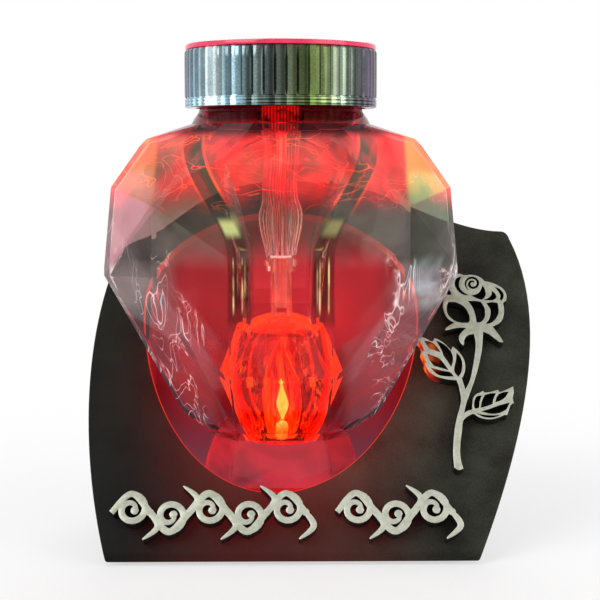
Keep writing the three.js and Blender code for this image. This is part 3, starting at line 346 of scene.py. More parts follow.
def front_plane(node):
    """A point and the normal of the largest flat face of a CAD node that looks forward."""
    found = {}
    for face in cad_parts[node].data.polygons:
        if face.normal.y < -0.1:
            key = tuple(round(value, 3) for value in face.normal)
            area = found[key][0] if key in found else 0
            found[key] = (area + face.area, face.center.copy(), face.normal.copy())
    return max(found.values(), key=lambda entry: entry[0])[1:]


point, outward = front_plane("front_panel")
panel_up = outward.cross(Vector((1, 0, 0)))
panel_up = panel_up if panel_up.z > 0 else -panel_up
foot_y = point.y + outward.z * point.z / outward.y
PANEL = Matrix((
    (1, 0, 0, 0),
    (0, panel_up.y, outward.y, foot_y),
    (0, panel_up.z, outward.z, 0),
    (0, 0, 0, 1),
))


def on_panel(x, up, out=0):
    """The place of a point of the panel's front face, from x, its height up the panel and its height over it."""
    return PANEL @ Vector((x, up, out))


def panel_point(share):
    return Vector((PANEL_WIDTH * share[0], PANEL_HEIGHT * share[1], 0))


def panel_outline():
    """The panel's outline: long sides as four-point curves, and its two corners as three-point ones."""
    start = panel_point(PANEL_FOOT_SHARE)
    line = [panel_point(PANEL_START_SHARE), start]
    for shares in PANEL_CURVE_SHARES:
        curve = [panel_point(share) for share in shares]
        end = curve[-1]
        if len(curve) == 3:
            first, second, steps = *curve[:2], SIDE_STEPS
        else:
            first, second, steps = start.lerp(curve[0], 2 / 3), end.lerp(curve[0], 2 / 3), CORNER_STEPS
        line += interpolate_bezier(start, first, second, end, steps)[1:]
        start = end
    return line[:-1]


def opening_outline(sides=144):
    waist = OPENING_BOTTOM + (OPENING_TOP - OPENING_BOTTOM) * OPENING_WAIST_SHARE
    line = []
    for step in range(sides):
        turn = 2 * math.pi * step / sides
        along = math.sin(turn)
        reach = OPENING_TOP - waist if along > 0 else waist - OPENING_BOTTOM
        shift = OPENING_SHIFT * along**2 if along < 0 else 0
        line.append((shift + OPENING_HALF_WIDTH * math.cos(turn), waist + reach * along))
    return line


panel = slab("panel", [on_panel(p.x, p.y) for p in panel_outline()], -PANEL_THICKNESS * outward)
combine(panel, slab(
    "opening_cut", [on_panel(x, up, PANEL_THICKNESS) for x, up in opening_outline()], -3 * PANEL_THICKNESS * outward,
))
open_edit(panel)
bpy.ops.mesh.bisect(plane_co=(0, 0, PANEL_FOOT), plane_no=(0, 0, 1), use_fill=True, clear_inner=True)
bpy.ops.mesh.select_all(action="SELECT")
nose_y = foot_y + PANEL_NOSE * panel_up.y / panel_up.z
bpy.ops.mesh.bisect(plane_co=(0, nose_y, 0), plane_no=(0, 1, 0), use_fill=True, clear_inner=True)
close_edit()
round_edges(panel, PANEL_EDGE, segments=3)

leather, tree, shader, surface = grained(
    "Charcoal leathercloth", 1500, (18, 17, 14), (42, 44, 36), (0.5, 0.75),
    Specular_IOR_Level=0.12, Emission_Strength=1,
)
place, along, across, up = place_in(tree)
pores = add_node(tree, "TexVoronoi", {"Vector": place, "Scale": 1100}, feature="DISTANCE_TO_EDGE").outputs["Distance"]
relief(shader, maths("ADD", between(pores, 0, 0.25), surface["Height"]), 0.3, 0.25)
light = add_effect(
    tree, glow, Reach=0.09, Near=colour(170, 34, 28), Far=colour(60, 12, 9), Patches=0.45, Patch_scale=22,
)
# Painted light: the flame's red glow on the leather, as emission, strongest on the cut edge of the opening, with a
# faint red glow low in the middle.
low_middle = product(rise(off(along), 70, 15), rise(up, 60, 15))
cut_side = between(off(facing(tree, outward)), 0.97, 0.7)
cut_edge = product(cut_side, rise(off(along), 64, 61.5), strip(up, 18, 24, 141, 145))
# Painted light and shade: the leather's colour is darker towards the lower left and lighter towards the upper right,
# from a quarter to twice its grain colour.
lit_and_shaded_leather = tinted(surface["Color"], rise(maths("ADD", up, along), -30, 150, 0.25, 2.1))
shown = lights(light["Color"], ((0.75, 0.03, 0.01), cut_edge), ((0.05, 0.003, 0.003), low_middle))
paint(shader, Base_Color=lit_and_shaded_leather, Emission_Color=shown)
fit(panel, "stand_and_jar", "panel", leather, "front_panel")

# Wedge behind the panel: floor plate, rear panel and two cheeks of board, painted matt black, with
# sanded edges. Inside, the jar's red light falls on them.
REAR_TOP_ABOVE = 106 * MM
REAR_TOP_RAISED = 3.4 * MM


def softened(name, node, width=0.4 * MM, angle=30, segments=2, finishes=()):
    """A copy of a CAD node, merged into flat faces, with rounded edges that may have a finish of their own."""
    piece = bpy.data.objects.new(name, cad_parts[node].data.copy())
    bpy.context.scene.collection.objects.link(piece)
    select_only(piece)
    bpy.ops.mesh.customdata_custom_splitnormals_clear()
    open_edit(piece)
    bpy.ops.mesh.remove_doubles(threshold=MERGED_WITHIN)
    bpy.ops.mesh.dissolve_limited(angle_limit=math.radians(0.5))
    bpy.ops.object.mode_set(mode="OBJECT")
    if finishes:
        piece.data.materials.clear()
        for finish in finishes:
            piece.data.materials.append(finish)
    if width:
        round_edges(piece, width, angle, segments, len(finishes) - 1)
    return piece


board, tree, shader, surface = grained(
    "Black painted board", 700, (18, 17, 16), (36, 34, 31), (0.65, 0.85),
    Specular_IOR_Level=0.2, Emission_Strength=1,
)
relief(shader, surface["Height"], 0.2, 0.1)
light = add_effect(
    tree, glow, Reach=0.19, Near=(0.9, 0.02, 0.03, 1), Far=(0.85, 0.015, 0.06, 1), Patches=0.4, Patch_scale=24,
)
place, along, across, up = place_in(tree)
inside = between(facing(tree, place), 0, -0.01)
bright = product(rise(up, 20, 90, 0.12, 1.3), rise(off(along), 58, 40, 0.45, 1))
shown = lights(tinted(light["Color"], bright), ((0.15, 0.045, 0.07), rise(up, 60, 5)))
paint(shader, Emission_Color=tinted(shown, inside))
boards = {node: softened(node + "_board", node) for node in ("rear_panel", "cheek_left", "cheek_right", "floor_plate")}
for corner in boards["rear_panel"].data.vertices:
    if corner.co.z > REAR_TOP_ABOVE:
        corner.co.z += REAR_TOP_RAISED
for node, piece in boards.items():
    fit(piece, "stand_and_jar", "board", board, node)

# Screws: zinc-plated pan-head screws with a cross recess, four through the rear panel and four up
# through the floor plate, all into the cheeks.
SCREW_LENGTH = 16
SCREW_RADIUS = 1.5
SCREW_HEAD_RADIUS = 2.7
SCREW_HEAD_HEIGHT = 1.6
SCREW_RIDGES = 14
SCREW_POINT = 1.8
RECESS_REACH, RECESS_HALF_WIDTH, RECESS_FLOOR = 1.3, 0.28, 0.7


def turned(name, profile, steps):
    """A piece turned about the lamp's axis from its closed profile of (radius, height) in millimetres."""
    piece = closed_loop(name, [Vector((radius * MM, 0, height * MM)) for radius, height in profile])
    open_edit(piece)
    bpy.ops.mesh.spin(steps=steps, angle=2 * math.pi, center=(0, 0, 0), axis=(0, 0, 1))
    close_edit()
    return piece


ridges = []
for step in range(SCREW_RIDGES):
    low = SCREW_POINT + step
    ridges += [(SCREW_RADIUS - 0.35, low - SCREW_LENGTH), (SCREW_RADIUS, low + 0.5 - SCREW_LENGTH)]
screw_profile = [
    (0, -SCREW_LENGTH), (0.4, 0.4 - SCREW_LENGTH), *ridges, (SCREW_RADIUS - 0.2, 0), (SCREW_HEAD_RADIUS - 0.15, 0),
    (SCREW_HEAD_RADIUS, 0.2), (SCREW_HEAD_RADIUS, 0.75), (2.35, 1.2), (1.7, 1.5), (0.9, SCREW_HEAD_HEIGHT),
    (0, SCREW_HEAD_HEIGHT),
]
screw = turned("screw", screw_profile, 24)
for along, across in ((RECESS_REACH, RECESS_HALF_WIDTH), (RECESS_HALF_WIDTH, RECESS_REACH)):
    corners = [(-along, -across), (along, -across), (along, across), (-along, across)]
    arm = slab("recess_cut", [Vector((x * MM, y * MM, RECESS_FLOOR * MM)) for x, y in corners], Vector((0, 0, 2 * MM)))
    combine(screw, arm)
zinc = grained("Zinc plate", 1200, (138, 140, 144), (196, 198, 200), (0.22, 0.42), Metallic=1)[0]
for group, turn in (("rear", -90), ("floor", 180)):
    for index in range(1, 5):
        node = f"{group}_screw_{index}"
        low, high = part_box(node)
        middle = (low + high) / 2
        copy = bpy.data.objects.new(node + "_pan_head", screw.data.copy())
        bpy.context.scene.collection.objects.link(copy)
        if group == "rear":
            seat = Vector((middle.x, high.y - SCREW_HEAD_HEIGHT * MM, middle.z))
        else:
            seat = Vector((middle.x, middle.y, low.z + SCREW_HEAD_HEIGHT * MM))
        copy.data.transform(Matrix.Translation(seat) @ Matrix.Rotation(math.radians(turn), 4, "X"))
        fit(copy, "stand_and_jar", "steel", zinc, node)
bpy.data.objects.remove(screw)

# Foam: a rest pad under the floor plate, a bedding pad under the jar's foot and a locating ring round
# it, all die-cut from closed-cell foam and glued down.
foam, tree, shader, surface = grained(
    "Closed-cell foam", 2600, (17, 17, 18), (44, 44, 46), (0.85, 1), Specular_IOR_Level=0.2, Emission_Strength=1,
)
relief(shader, surface["Height"], 0.15, 0.2)
# Painted light: the flame's red glow on the foam, as emission.
light = add_effect(
    tree, glow, Reach=0.1, Near=colour(250, 44, 36), Far=colour(230, 30, 36), Patches=0.3, Patch_scale=40,
)
paint(shader, Emission_Color=light["Color"])
for node in ("rest_pad", "foot_bedding", "foot_ring"):
    fit(softened(node + "_foam", node, 0.5 * MM), "stand_and_jar", "foam", foam, node)

# Rose: cut from one sheet of black acrylic with a silver film on its face, and stuck on the panel. Its
# outline and openings are drawn on a grid of sixteenths of a millimetre, down from the bloom.
ORNAMENT_THICKNESS = 6 * MM
ORNAMENT_GAP = 0.3 * MM
FILM_DEPTH = 0.15 * MM
ROSE_LEFT = 57.5
ROSE_TOP = 136.2
ROSE_ACROSS = 0.0612
ROSE_DOWN = 0.0655
ROSE_LEAN = 0.0039
ROSE_LEAF_TIP = (40, 545)
ROSE_OUTLINE = [
    (330, 1468, 1), (322, 1380), (325, 1290), (334, 1200), (350, 1120), (370, 1050), (377, 1000), (370, 950),
    (360, 905), (348, 866, 1), (300, 862), (245, 852), (200, 836), (165, 812), (140, 780), (120, 742, 1), (134, 736),
    (118, 706), (96, 656, 1), (114, 650), (96, 606), (56, 548, 1), (92, 549), (130, 562), (172, 584), (190, 558, 1),
    (232, 578), (275, 612), (303, 646), (318, 620, 1), (352, 648), (388, 694), (406, 740), (408, 785), (398, 825),
    (384, 850, 1), (396, 890), (408, 928, 1), (428, 890), (446, 840), (458, 780), (470, 710), (479, 640), (480, 585),
    (470, 532, 1), (440, 536), (416, 550), (402, 575), (400, 600), (394, 614), (376, 600), (363, 570), (366, 540),
    (386, 512), (412, 488, 1), (375, 484), (325, 490), (290, 500), (262, 503, 1), (272, 482), (300, 462), (328, 446, 1),
    (292, 425), (268, 395), (252, 355), (246, 315), (252, 275), (262, 250, 1), (240, 236), (214, 210, 1), (226, 176),
    (254, 148), (286, 132, 1), (292, 108), (312, 88), (340, 78), (372, 76), (402, 86), (450, 83), (495, 92),
    (530, 112), (548, 132, 1), (592, 142), (642, 162), (682, 190), (702, 220), (708, 250), (704, 284, 1), (684, 300),
    (688, 340), (686, 385), (674, 425), (648, 454), (606, 476, 1), (634, 515), (664, 560), (680, 590, 1), (655, 592),
    (615, 562), (575, 532), (536, 514, 1), (533, 570), (527, 640), (514, 710), (498, 780), (478, 850), (456, 915),
    (434, 975), (414, 1030), (400, 1094, 1), (425, 1078), (452, 1070), (455, 1030), (462, 990), (484, 962),
    (508, 952), (532, 938, 1), (545, 952), (590, 946), (637, 932, 1), (650, 948), (690, 934), (742, 908, 1),
    (746, 950), (738, 992), (746, 1026, 1), (724, 1040), (712, 1068), (697, 1112, 1), (676, 1112), (640, 1128),
    (590, 1140), (540, 1138), (500, 1126), (464, 1104), (438, 1112), (408, 1132), (390, 1160), (384, 1220),
    (374, 1300), (372, 1370), (380, 1430), (394, 1476, 1), (362, 1486),
]
ROSE_OPENINGS = [
    [(255, 170), (284, 152, 1), (290, 190), (306, 224), (300, 238, 1), (268, 232), (240, 212), (238, 192)],
    [(346, 112), (382, 96, 1), (368, 124), (362, 158), (370, 190), (392, 216), (430, 240, 1), (394, 234),
     (360, 210), (338, 176), (333, 142)],
    [(534, 166, 1), (548, 190), (556, 226), (546, 258), (524, 274, 1), (490, 262), (456, 244, 1), (496, 230),
     (520, 204)],
    [(602, 206, 1), (626, 232), (634, 258, 1), (610, 276), (574, 278), (546, 274, 1), (578, 260), (598, 236)],
    [(626, 180, 1), (658, 194), (682, 224), (684, 254), (670, 280, 1), (660, 268), (664, 244), (650, 214)],
    [(286, 294, 1), (330, 292), (376, 310), (412, 342), (434, 384), (440, 422), (430, 446, 1), (388, 446),
     (342, 436), (302, 406), (280, 372), (276, 326)],
    [(430, 286, 1), (480, 284), (522, 292, 1), (544, 330), (550, 370), (544, 412), (522, 440, 1), (492, 442),
     (484, 400), (470, 350), (452, 314)],
    [(562, 302, 1), (600, 294), (640, 300, 1), (648, 340), (644, 382), (624, 420), (590, 448), (556, 454, 1),
     (580, 420), (590, 382), (588, 344)],
    [(118, 580, 1), (164, 590), (202, 620), (230, 660, 1), (190, 648), (148, 628)],
    [(202, 580, 1), (246, 600), (290, 636), (314, 676), (320, 722), (308, 768, 1), (282, 726), (256, 690),
     (240, 646)],
    [(346, 668, 1), (374, 700), (386, 748), (380, 802), (360, 838, 1), (336, 812), (330, 776), (342, 726)],
    [(140, 674, 1), (180, 690), (222, 708), (252, 740), (288, 790, 1), (238, 776), (188, 760, 1), (156, 718)],
    [(164, 774, 1), (202, 786), (258, 800), (300, 808), (326, 836, 1), (270, 836), (212, 822)],
    [(480, 990), (500, 976), (520, 976, 1), (506, 1018), (500, 1058), (474, 1064, 1), (468, 1034)],
    [(544, 970, 1), (582, 960), (620, 958, 1), (602, 998), (596, 1032, 1), (556, 1048), (514, 1058, 1),
     (524, 1010)],
    [(642, 964, 1), (678, 950), (708, 950, 1), (682, 988), (648, 1010), (616, 1020, 1), (626, 986)],
    [(520, 1084, 1), (572, 1070), (630, 1048), (716, 1024, 1), (690, 1072, 1), (640, 1096), (580, 1100)],
    [(488, 1100, 1), (540, 1110), (600, 1114), (648, 1110, 1), (600, 1126), (540, 1124)],
]
ROSE_SPIRAL = {"middle": (462, 152), "outer": 56, "inner": 14, "start": 2.2, "turns": 1.55, "width": 15}


def eased(a, b, c, d, share):
    """A point between b and c on a smooth line through four points."""
    return tuple(
        0.5 * (2 * q + (r - p) * share + (2 * p - 5 * q + 4 * r - s) * share**2 + (3 * q - p - 3 * r + s) * share**3)
        for p, q, r, s in zip(a[:2], b[:2], c[:2], d[:2])
    )


def drawn(points, steps=5):
    """A smooth closed line through points; a point with a third number is a sharp corner."""
    count = len(points)
    line = []
    for index, here in enumerate(points):
        after = points[(index + 1) % count]
        before = here if len(here) > 2 else points[index - 1]
        beyond = after if len(after) > 2 else points[(index + 2) % count]
        line += [eased(before, here, after, beyond, step / steps) for step in range(steps)]
    return line


def spiral_band(middle, outer, inner, start, turns, width, steps=60):
    """The closed outline of a band that winds in from an outer radius to an inner one and thins out."""
    sides = ([], [])
    for step in range(steps + 1):
        share = step / steps
        half = width / 2 * math.sin(math.pi * min(1, 0.12 + 3 * share, 3.2 * (1.05 - share)) / 2)
        radius = outer + (inner - outer) * share
        turn = start + 2 * math.pi * turns * share
        for side, sign in zip(sides, (1, -1)):
            reach = radius + sign * half
            side.append((middle[0] + reach * math.cos(turn), middle[1] + reach * math.sin(turn)))
    return sides[0] + sides[1][::-1]


def cut_sheet(name, outlines, thickness, edge=0.25 * MM):
    """A sheet cut to the first outline, with the others as openings, its edges slightly eased."""
    loops = [closed_loop(name, [Vector((x, y, 0)) for x, y in outline]) for outline in outlines]
    select_only(loops[0])
    for loop in loops:
        loop.select_set(True)
    bpy.ops.object.join()
    bpy.ops.object.convert(target="CURVE")
    piece = bpy.context.object
    piece.data.dimensions = "2D"
    piece.data.fill_mode = "BOTH"
    piece.data.extrude = thickness / 2 - edge
    piece.data.bevel_depth = edge
    piece.data.bevel_resolution = 1
    piece.data.offset = -edge
    bpy.ops.object.convert(target="MESH")
    piece.name = piece.data.name = name
    open_edit(piece)
    close_edit()
    return piece


def rose_place(point):
    """The place on the panel of a point of the rose's grid."""
    across = ROSE_ACROSS * (point[0] - ROSE_LEAF_TIP[0]) - ROSE_LEAN * (point[1] - ROSE_LEAF_TIP[1])
    return (ROSE_LEFT + across) * MM, (ROSE_TOP - ROSE_DOWN * point[1]) * MM


def shades(value, stops):
    """A row of screen colours along a value, from its (place, colour) stops."""
    row = add_node(tree_of(value), "ValToRGB", {"Fac": value})
    elements = row.color_ramp.elements
    while len(elements) < len(stops):
        elements.new(0.5)
    for stop, (position, shade) in zip(elements, stops):
        stop.position = position
        stop.color = colour(*shade)
    return row.outputs["Color"]


ornament_side, tree, shader, surface = grained(
    "Black acrylic edge", 800, (12, 11, 11), (30, 28, 27), (0.25, 0.45), Specular_IOR_Level=0.5, Emission_Strength=1,
)
place, along, across, up = place_in(tree)
beside_jar = level(along, 69 * MM, 62 * MM)
to_jar = level(facing(tree, (1, 0, 0)), -0.1, -0.6)
above_scrolls = level(up, 55 * MM, 65 * MM)
# Painted light: the jar's red and orange light on the edges that face it, beside the jar and above the scrolls, as
# emission.
jar_light_on_edges = shades(noise(place, 260, 3), [(0.4, (190, 10, 8)), (0.62, (255, 120, 40))])
paint(shader, Emission_Color=tinted(jar_light_on_edges, product(beside_jar, to_jar, above_scrolls)))

ornament_face, tree, shader, surface = grained(
    "Silver film", 420, (160, 163, 146), (196, 198, 182), (0.28, 0.42), Metallic=0.35, Specular_IOR_Level=0.5,
)
relief(shader, surface["Height"], 0.06, 0.1)


def lay_on_panel(piece, node):
    """Lays a cut sheet on the panel, black at its sides and silver on its face."""
    piece.data.materials.append(ornament_side)
    piece.data.materials.append(ornament_face)
    for face in piece.data.polygons:
        face.material_index = int(face.center.z > ORNAMENT_THICKNESS / 2 - FILM_DEPTH)
    piece.data.transform(PANEL @ Matrix.Translation((0, 0, ORNAMENT_GAP + ORNAMENT_THICKNESS / 2)))
    fit(piece, "stand_and_jar", "ornament", None, node, smooth=40)


rose_lines = [drawn(ROSE_OUTLINE)] + [drawn(line) for line in ROSE_OPENINGS] + [spiral_band(**ROSE_SPIRAL)]
rose = cut_sheet("rose", [[rose_place(p) for p in line] for line in rose_lines], ORNAMENT_THICKNESS)
lay_on_panel(rose, "rose_ornament")

# Scrolls: two plain leafy scroll ornaments of the same sheet, under the opening. Each has a waved stem
# with curls above and below it and a small leaf at every bend.
SCROLL_HEIGHT = 27
SCROLL_STROKE = 2.5
SCROLL_FOOT = 7.6
CURL_BUTTON, LEAF_ROOT = 1.7, 1.6
LEAF_POINTS = ((0.12, 0.22), (-0.1, 0.42))


def smooth_line(points, steps):
    """A smooth open line through points."""
    last = len(points) - 1
    line = []
    for index in range(last):
        before, beyond = points[max(0, index - 1)], points[min(last, index + 2)]
        line += [eased(before, points[index], points[index + 1], beyond, step / steps) for step in range(steps)]
    return line + [points[last]]


def band(line, start, end, swell=0):
    """The outline of a stroke along a line, from one width to another, swelling between them."""
    sides = ([], [])
    for index, (x, y) in enumerate(line):
        share = index / (len(line) - 1)
        ahead, behind = line[min(index + 1, len(line) - 1)], line[max(index - 1, 0)]
        run = math.hypot(ahead[0] - behind[0], ahead[1] - behind[1])
        across = ((ahead[1] - behind[1]) / run, (behind[0] - ahead[0]) / run)
        half = (start + (end - start) * share) / 2 + swell * math.sin(math.pi * share) / 2
        for side, sign in zip(sides, (1, -1)):
            side.append((x + sign * across[0] * half, y + sign * across[1] * half))
    return sides[0] + sides[1][::-1]


def disc(middle, radius):
    """The outline of a small disc."""
    return [(middle[0] + radius * math.cos(t / 2), middle[1] + radius * math.sin(t / 2)) for t in range(12)]


def face_outlines(piece, shortest=0.12 * MM):
    """The closed outlines of a slab's upper face, without its shortest steps."""
    uses = {}
    for face in piece.data.polygons:
        if face.normal.z > 0.9:
            for edge in zip(face.vertices, [*face.vertices[1:], face.vertices[0]]):
                key = tuple(tuple(round(value, 7) for value in piece.data.vertices[end].co[:2]) for end in edge)
                uses[key] = True
    after = {start: end for start, end in uses if (end, start) not in uses and start != end}
    outlines = []
    while after:
        start, here = next(iter(after.items()))
        del after[start]
        line = [start]
        while here in after:
            if math.dist(here, line[-1]) > shortest:
                line.append(here)
            here = after.pop(here)
        if len(line) > 3:
            outlines.append(line)
    return outlines


def scroll(name, left, length, curls):
    """A scroll ornament from its left end, length and number of curls."""
    wave = []
    for step in range(2 * curls + 1):
        rise_share = math.sin(math.pi * step / 2) * 0.3
        along = left + length * (0.04 + 0.92 * step / (2 * curls))
        wave.append((along, SCROLL_FOOT + SCROLL_HEIGHT * (0.5 + rise_share)))
    strokes = [band(smooth_line(wave, 10), SCROLL_STROKE, SCROLL_STROKE, 0.6)]
    outer, inner = SCROLL_HEIGHT * 0.25, SCROLL_HEIGHT * 0.06
    for curl in range(curls):
        up = 1 if curl % 2 else -1
        x, y = wave[2 * curl + 1]
        turns = []
        for step in range(31):
            share = step / 30
            radius = outer + (inner - outer) * share
            turn = 2 * math.pi * (-up * 0.25 + up * 1.3 * share)
            turns.append((x + radius * math.cos(turn), y + up * outer + radius * math.sin(turn)))
        root = wave[2 * curl + 2]
        leaf = [root] + [(root[0] + SCROLL_HEIGHT * a, root[1] + up * SCROLL_HEIGHT * b) for a, b in LEAF_POINTS]
        strokes += [
            band(turns, SCROLL_STROKE, 1.5, 0.7), disc(turns[-1], CURL_BUTTON), disc(root, LEAF_ROOT),
            band(smooth_line(leaf, 8), 1.8, 0.6, 1.4),
        ]
    rest = -ORNAMENT_THICKNESS / 2
    depth = Vector((0, 0, ORNAMENT_THICKNESS))
    slabs = [slab(name, [Vector((a * MM, b * MM, rest)) for a, b in line], depth) for line in strokes]
    for other in slabs[1:]:
        combine(slabs[0], other, "UNION")
    outlines = face_outlines(slabs[0])
    bpy.data.objects.remove(slabs[0])
    return cut_sheet(name, outlines, ORNAMENT_THICKNESS, 0.2 * MM)


lay_on_panel(scroll("scroll_left_sheet", -72.7, 86, 5), "scroll_left")
lay_on_panel(scroll("scroll_right_sheet", 20.7, 51, 3), "scroll_right")

# Jar: heavy pressed glass, clear with a faint smoky rose tint. Its heart-shaped body has large flat
# facets, a cleft front and back and a flared foot, and its edges are rounded by the mould.
SEE_THROUGH = {"Metallic": 0, "Transmission_Weight": 1, "Emission_Strength": 1}
GLOBE_MIDDLE = (0, 0, 0.07)
BEND_HALF_WIDTH = 4.6
GLINT_OFF_BEND = 1.8
HIGHLIGHT_HEIGHT = 136.5

# Bright lines: thin winding streaks, as light drawn together by thick glass, in loose patches.
streaks, given, results = new_effect(
    "Bright lines",
    {"Stretch": ("Vector", (1, 1, 1)), "Scale": ("Float", 60), "Width": ("Float", 0.02), "Cover": ("Float", 0.5)},
    {"Mask": "Float"},
)
pulled = vectors("MULTIPLY", add_node(streaks, "TexCoord").outputs["Object"], given["Stretch"])
line = between(off(noise(pulled, given["Scale"], 2, 1.2), 0.5), given["Width"], 0)
patches = noise(pulled, product(given["Scale"], 0.45), 1)
least = maths("SUBTRACT", 0.85, product(given["Cover"], 0.7))
paint(results, Mask=product(line, between(patches, least, maths("ADD", least, 0.08))))


def clouds(place, scale, detail=3, distortion=0.5, low=0.38, high=0.62):
    return between(noise(place, scale, detail, distortion), low, high)


def layered(first, *layers):
    """A colour with others laid over it, each under its own mask."""
    for mask, shade in layers:
        first = mixed(mask, first, shade)
    return first


glass, tree, shader = new_finish("Smoky rose glass", IOR=1.2, Roughness=0.02, **SEE_THROUGH)
place, along, across, up = place_in(tree)
aside = off(along)
# Painted refraction: each flat facet gets its own random tone, for the different things seen through it.
flat_normal = add_node(tree, "NewGeometry").outputs["True Normal"]
facet = noise(flat_normal, 2.6, 0)
facet_refraction_tone = between(facet, 0.35, 0.65)


def facet_mask(*aim):
    """One at the facet that faces one way, and zero elsewhere."""
    return between(vectors("DOT_PRODUCT", flat_normal, Vector(aim).normalized()), 0.992, 0.997)


# Places on the glass: the two bands that bend round the cleft, the shoulders, the sides and the waist.
below_neck = rise(up, 176, 172)
high_up = product(rise(up, 140, 156), below_neck)
front_or_back = rise(off(across), 20, 24)
off_bend = off(aside, rise(up, 124, 170, 17.5 * MM, 36 * MM))
span = product(rise(up, 92, 100), below_neck, front_or_back)
bend = product(rise(off_bend, BEND_HALF_WIDTH, BEND_HALF_WIDTH - 1), span)
at_corner = product(rise(aside, 52, 55), strip(up, 116, 121, 156, 161))
under_fold = rise(maths("SUBTRACT", up, maths("ADD", product(aside, 1.27), 46.5 * MM)), 2, -2)
side = product(under_fold, rise(up, 42, 50), rise(aside, 25, 31))
waist = product(rise(aside, 45, 50), strip(up, 98, 104, 120, 126))
corner = product(rise(aside, 51, 53), rise(across, 0, -2))

# The glass's own faint smoky rose tint, and laid over it painted light and shade: darker panes above
# the waist and on random facets, red light high on the shoulders, painted reflections at the corners,
# pinker on the left and greener on the right, dark bands round the cleft, and painted dark red shade at
# the neck under the lid.
cloudy = clouds(place, 26, distortion=0.8)
tint_and_painted_light = layered(
    mixed(cloudy, (0.94, 0.82, 0.83, 1), (0.9, 0.78, 0.78, 1)),
    (rise(up, 118, 132), mixed(cloudy, (0.5, 0.34, 0.33, 1), (0.46, 0.42, 0.33, 1))),
    (product(facet_refraction_tone, 0.35), (0.36, 0.26, 0.24, 1)),
    (rise(up, 137, 150), mixed(cloudy, (0.64, 0.09, 0.1, 1), (0.4, 0.24, 0.18, 1))),
    (at_corner, mixed(rise(along, -20, 20), (0.52, 0.36, 0.37, 1), (0.36, 0.4, 0.32, 1))),
    (product(bend, 0.75), (0.2, 0.2, 0.13, 1)),
    (rise(up, 171, 176), (0.2, 0.02, 0.035, 1)),
)

# Light caught in the glass: red from the flame, white and coloured from the room.
foot = product(rise(up, 48, 44), clouds(place, 40, 4, 1, 0.3, 0.6))
red_clouds = product(clouds(place, 34, 4, 1), high_up, maths("SUBTRACT", 1, bend))
ridge = product(rise(off(across), 9, 5), high_up)
red_lines = add_effect(tree, streaks, Stretch=(0.8, 1, 1.9), Scale=44, Width=0.014, Cover=0.5)["Mask"]
bend_edge = product(rise(off(off_bend, BEND_HALF_WIDTH * MM), 1, 0.2), span, high_up, clouds(place, 45))
white_lines = add_effect(tree, streaks, Stretch=(1.8, 1, 0.7), Scale=50, Width=0.014, Cover=0.55)["Mask"]
clear_of_globe = rise(vectors("DISTANCE", place, GLOBE_MIDDLE), 30, 60, 0.5, 1)
# Painted light as emission: a faint pale glow on the lower sides, and a faint grey glow over the upper panes and the
# waist.
side_glow = product(side, between(facet_refraction_tone, 0, 1, 0.2, 1), clear_of_globe)
lit_panes = product(maths("MAXIMUM", rise(up, 118, 128), waist), between(facet, 0.4, 0.6, 0.35, 1))
pane_light = product(lit_panes, clouds(place, 60, 2, 0.4, 0.2, 0.6), below_neck)
glint_span = product(strip(up, 100, 106, 121, 126), front_or_back)
glints = product(rise(off(off_bend, GLINT_OFF_BEND * MM), 0.5, 0.1), glint_span, clouds(place, 80))
# Painted highlight: a pale green spot on the bands where they bend, at full strength on the left and about a third as
# strong on the right.
highlight_place = product(rise(off_bend, 3.6, 2), rise(off(up, HIGHLIGHT_HEIGHT * MM), 5, 1))
highlight_spot = product(highlight_place, span, rise(along, 0, -5, 0.35, 1))
right_pane = product(waist, rise(along, 48, 51), rise(across, 0, -2), clouds(place, 50))
shown = lights(
    ((0.13, 0.003, 0.004), foot),
    ((0.3, 0.004, 0.006), red_clouds),
    ((0.42, 0.004, 0.012), ridge),
    ((0.8, 0.05, 0.01), product(red_lines, high_up)),
    ((0.6, 0.04, 0.01), bend_edge),
    ((0.5, 0.45, 0.45), product(white_lines, maths("MAXIMUM", side, waist))),
    ((0.035, 0.026, 0.03), side_glow),
    ((0.14, 0.05, 0.07), product(facet_mask(-0.78, -0.62, 0.08), corner, rise(up, 112, 124))),
    ((0.2, 0.07, 0.01), product(facet_mask(-0.65, -0.62, 0.44), corner, high_up)),
    ((0.08, 0.2, 0.02), product(facet_mask(0.65, -0.62, 0.44), corner, high_up)),
    ((0.055, 0.05, 0.044), pane_light),
    ((0.5, 0.42, 0.2), glints),
    ((0.3, 0.38, 0.14), highlight_spot),
    ((0.1, 0.13, 0.15), right_pane),
)
paint(shader, Base_Color=tint_and_painted_light, Emission_Color=shown)

glass_edge, tree, shader = new_finish(
    "Glass edge", Base_Color=(0.85, 0.75, 0.75, 1), IOR=1.2, Roughness=0.02, **SEE_THROUGH,
)
place, along, across, up = place_in(tree)
# Painted light on the rounded edges, as emission: pale highlights below the shoulders and red light on the shoulders.
pale = tinted((0.5, 0.42, 0.43), clouds(place, 70))
warm = tinted((0.6, 0.012, 0.018), clouds(place, 40, low=0.3, high=0.6))
paint(shader, Emission_Color=mixed(rise(up, 135, 155), pale, warm))
jar = softened("jar", "jar_glass", 0.7 * MM, 11, finishes=(glass, glass_edge))
fit(jar, "stand_and_jar", "jar_glass", None, "jar_glass", smooth=25)

# Neck gasket: a soft moulded rubber ring that lies on the jar's rim, under the lamp insert's flange,
# and seals the two.
gasket_profile = [
    (31.6, 200), (33.5, 200), (33.65, 200.2), (33.65, 201), (33.5, 201.2), (31.6, 201.2), (31.4, 201), (31.4, 200.2),
]
gasket = turned("gasket_ring", gasket_profile, 96)
rubber = grained("Gasket rubber", 900, (24, 24, 26), (44, 44, 47), (0.55, 0.75), Specular_IOR_Level=0.35)[0]
fit(gasket, "gasket", "rubber", rubber, "neck_gasket")

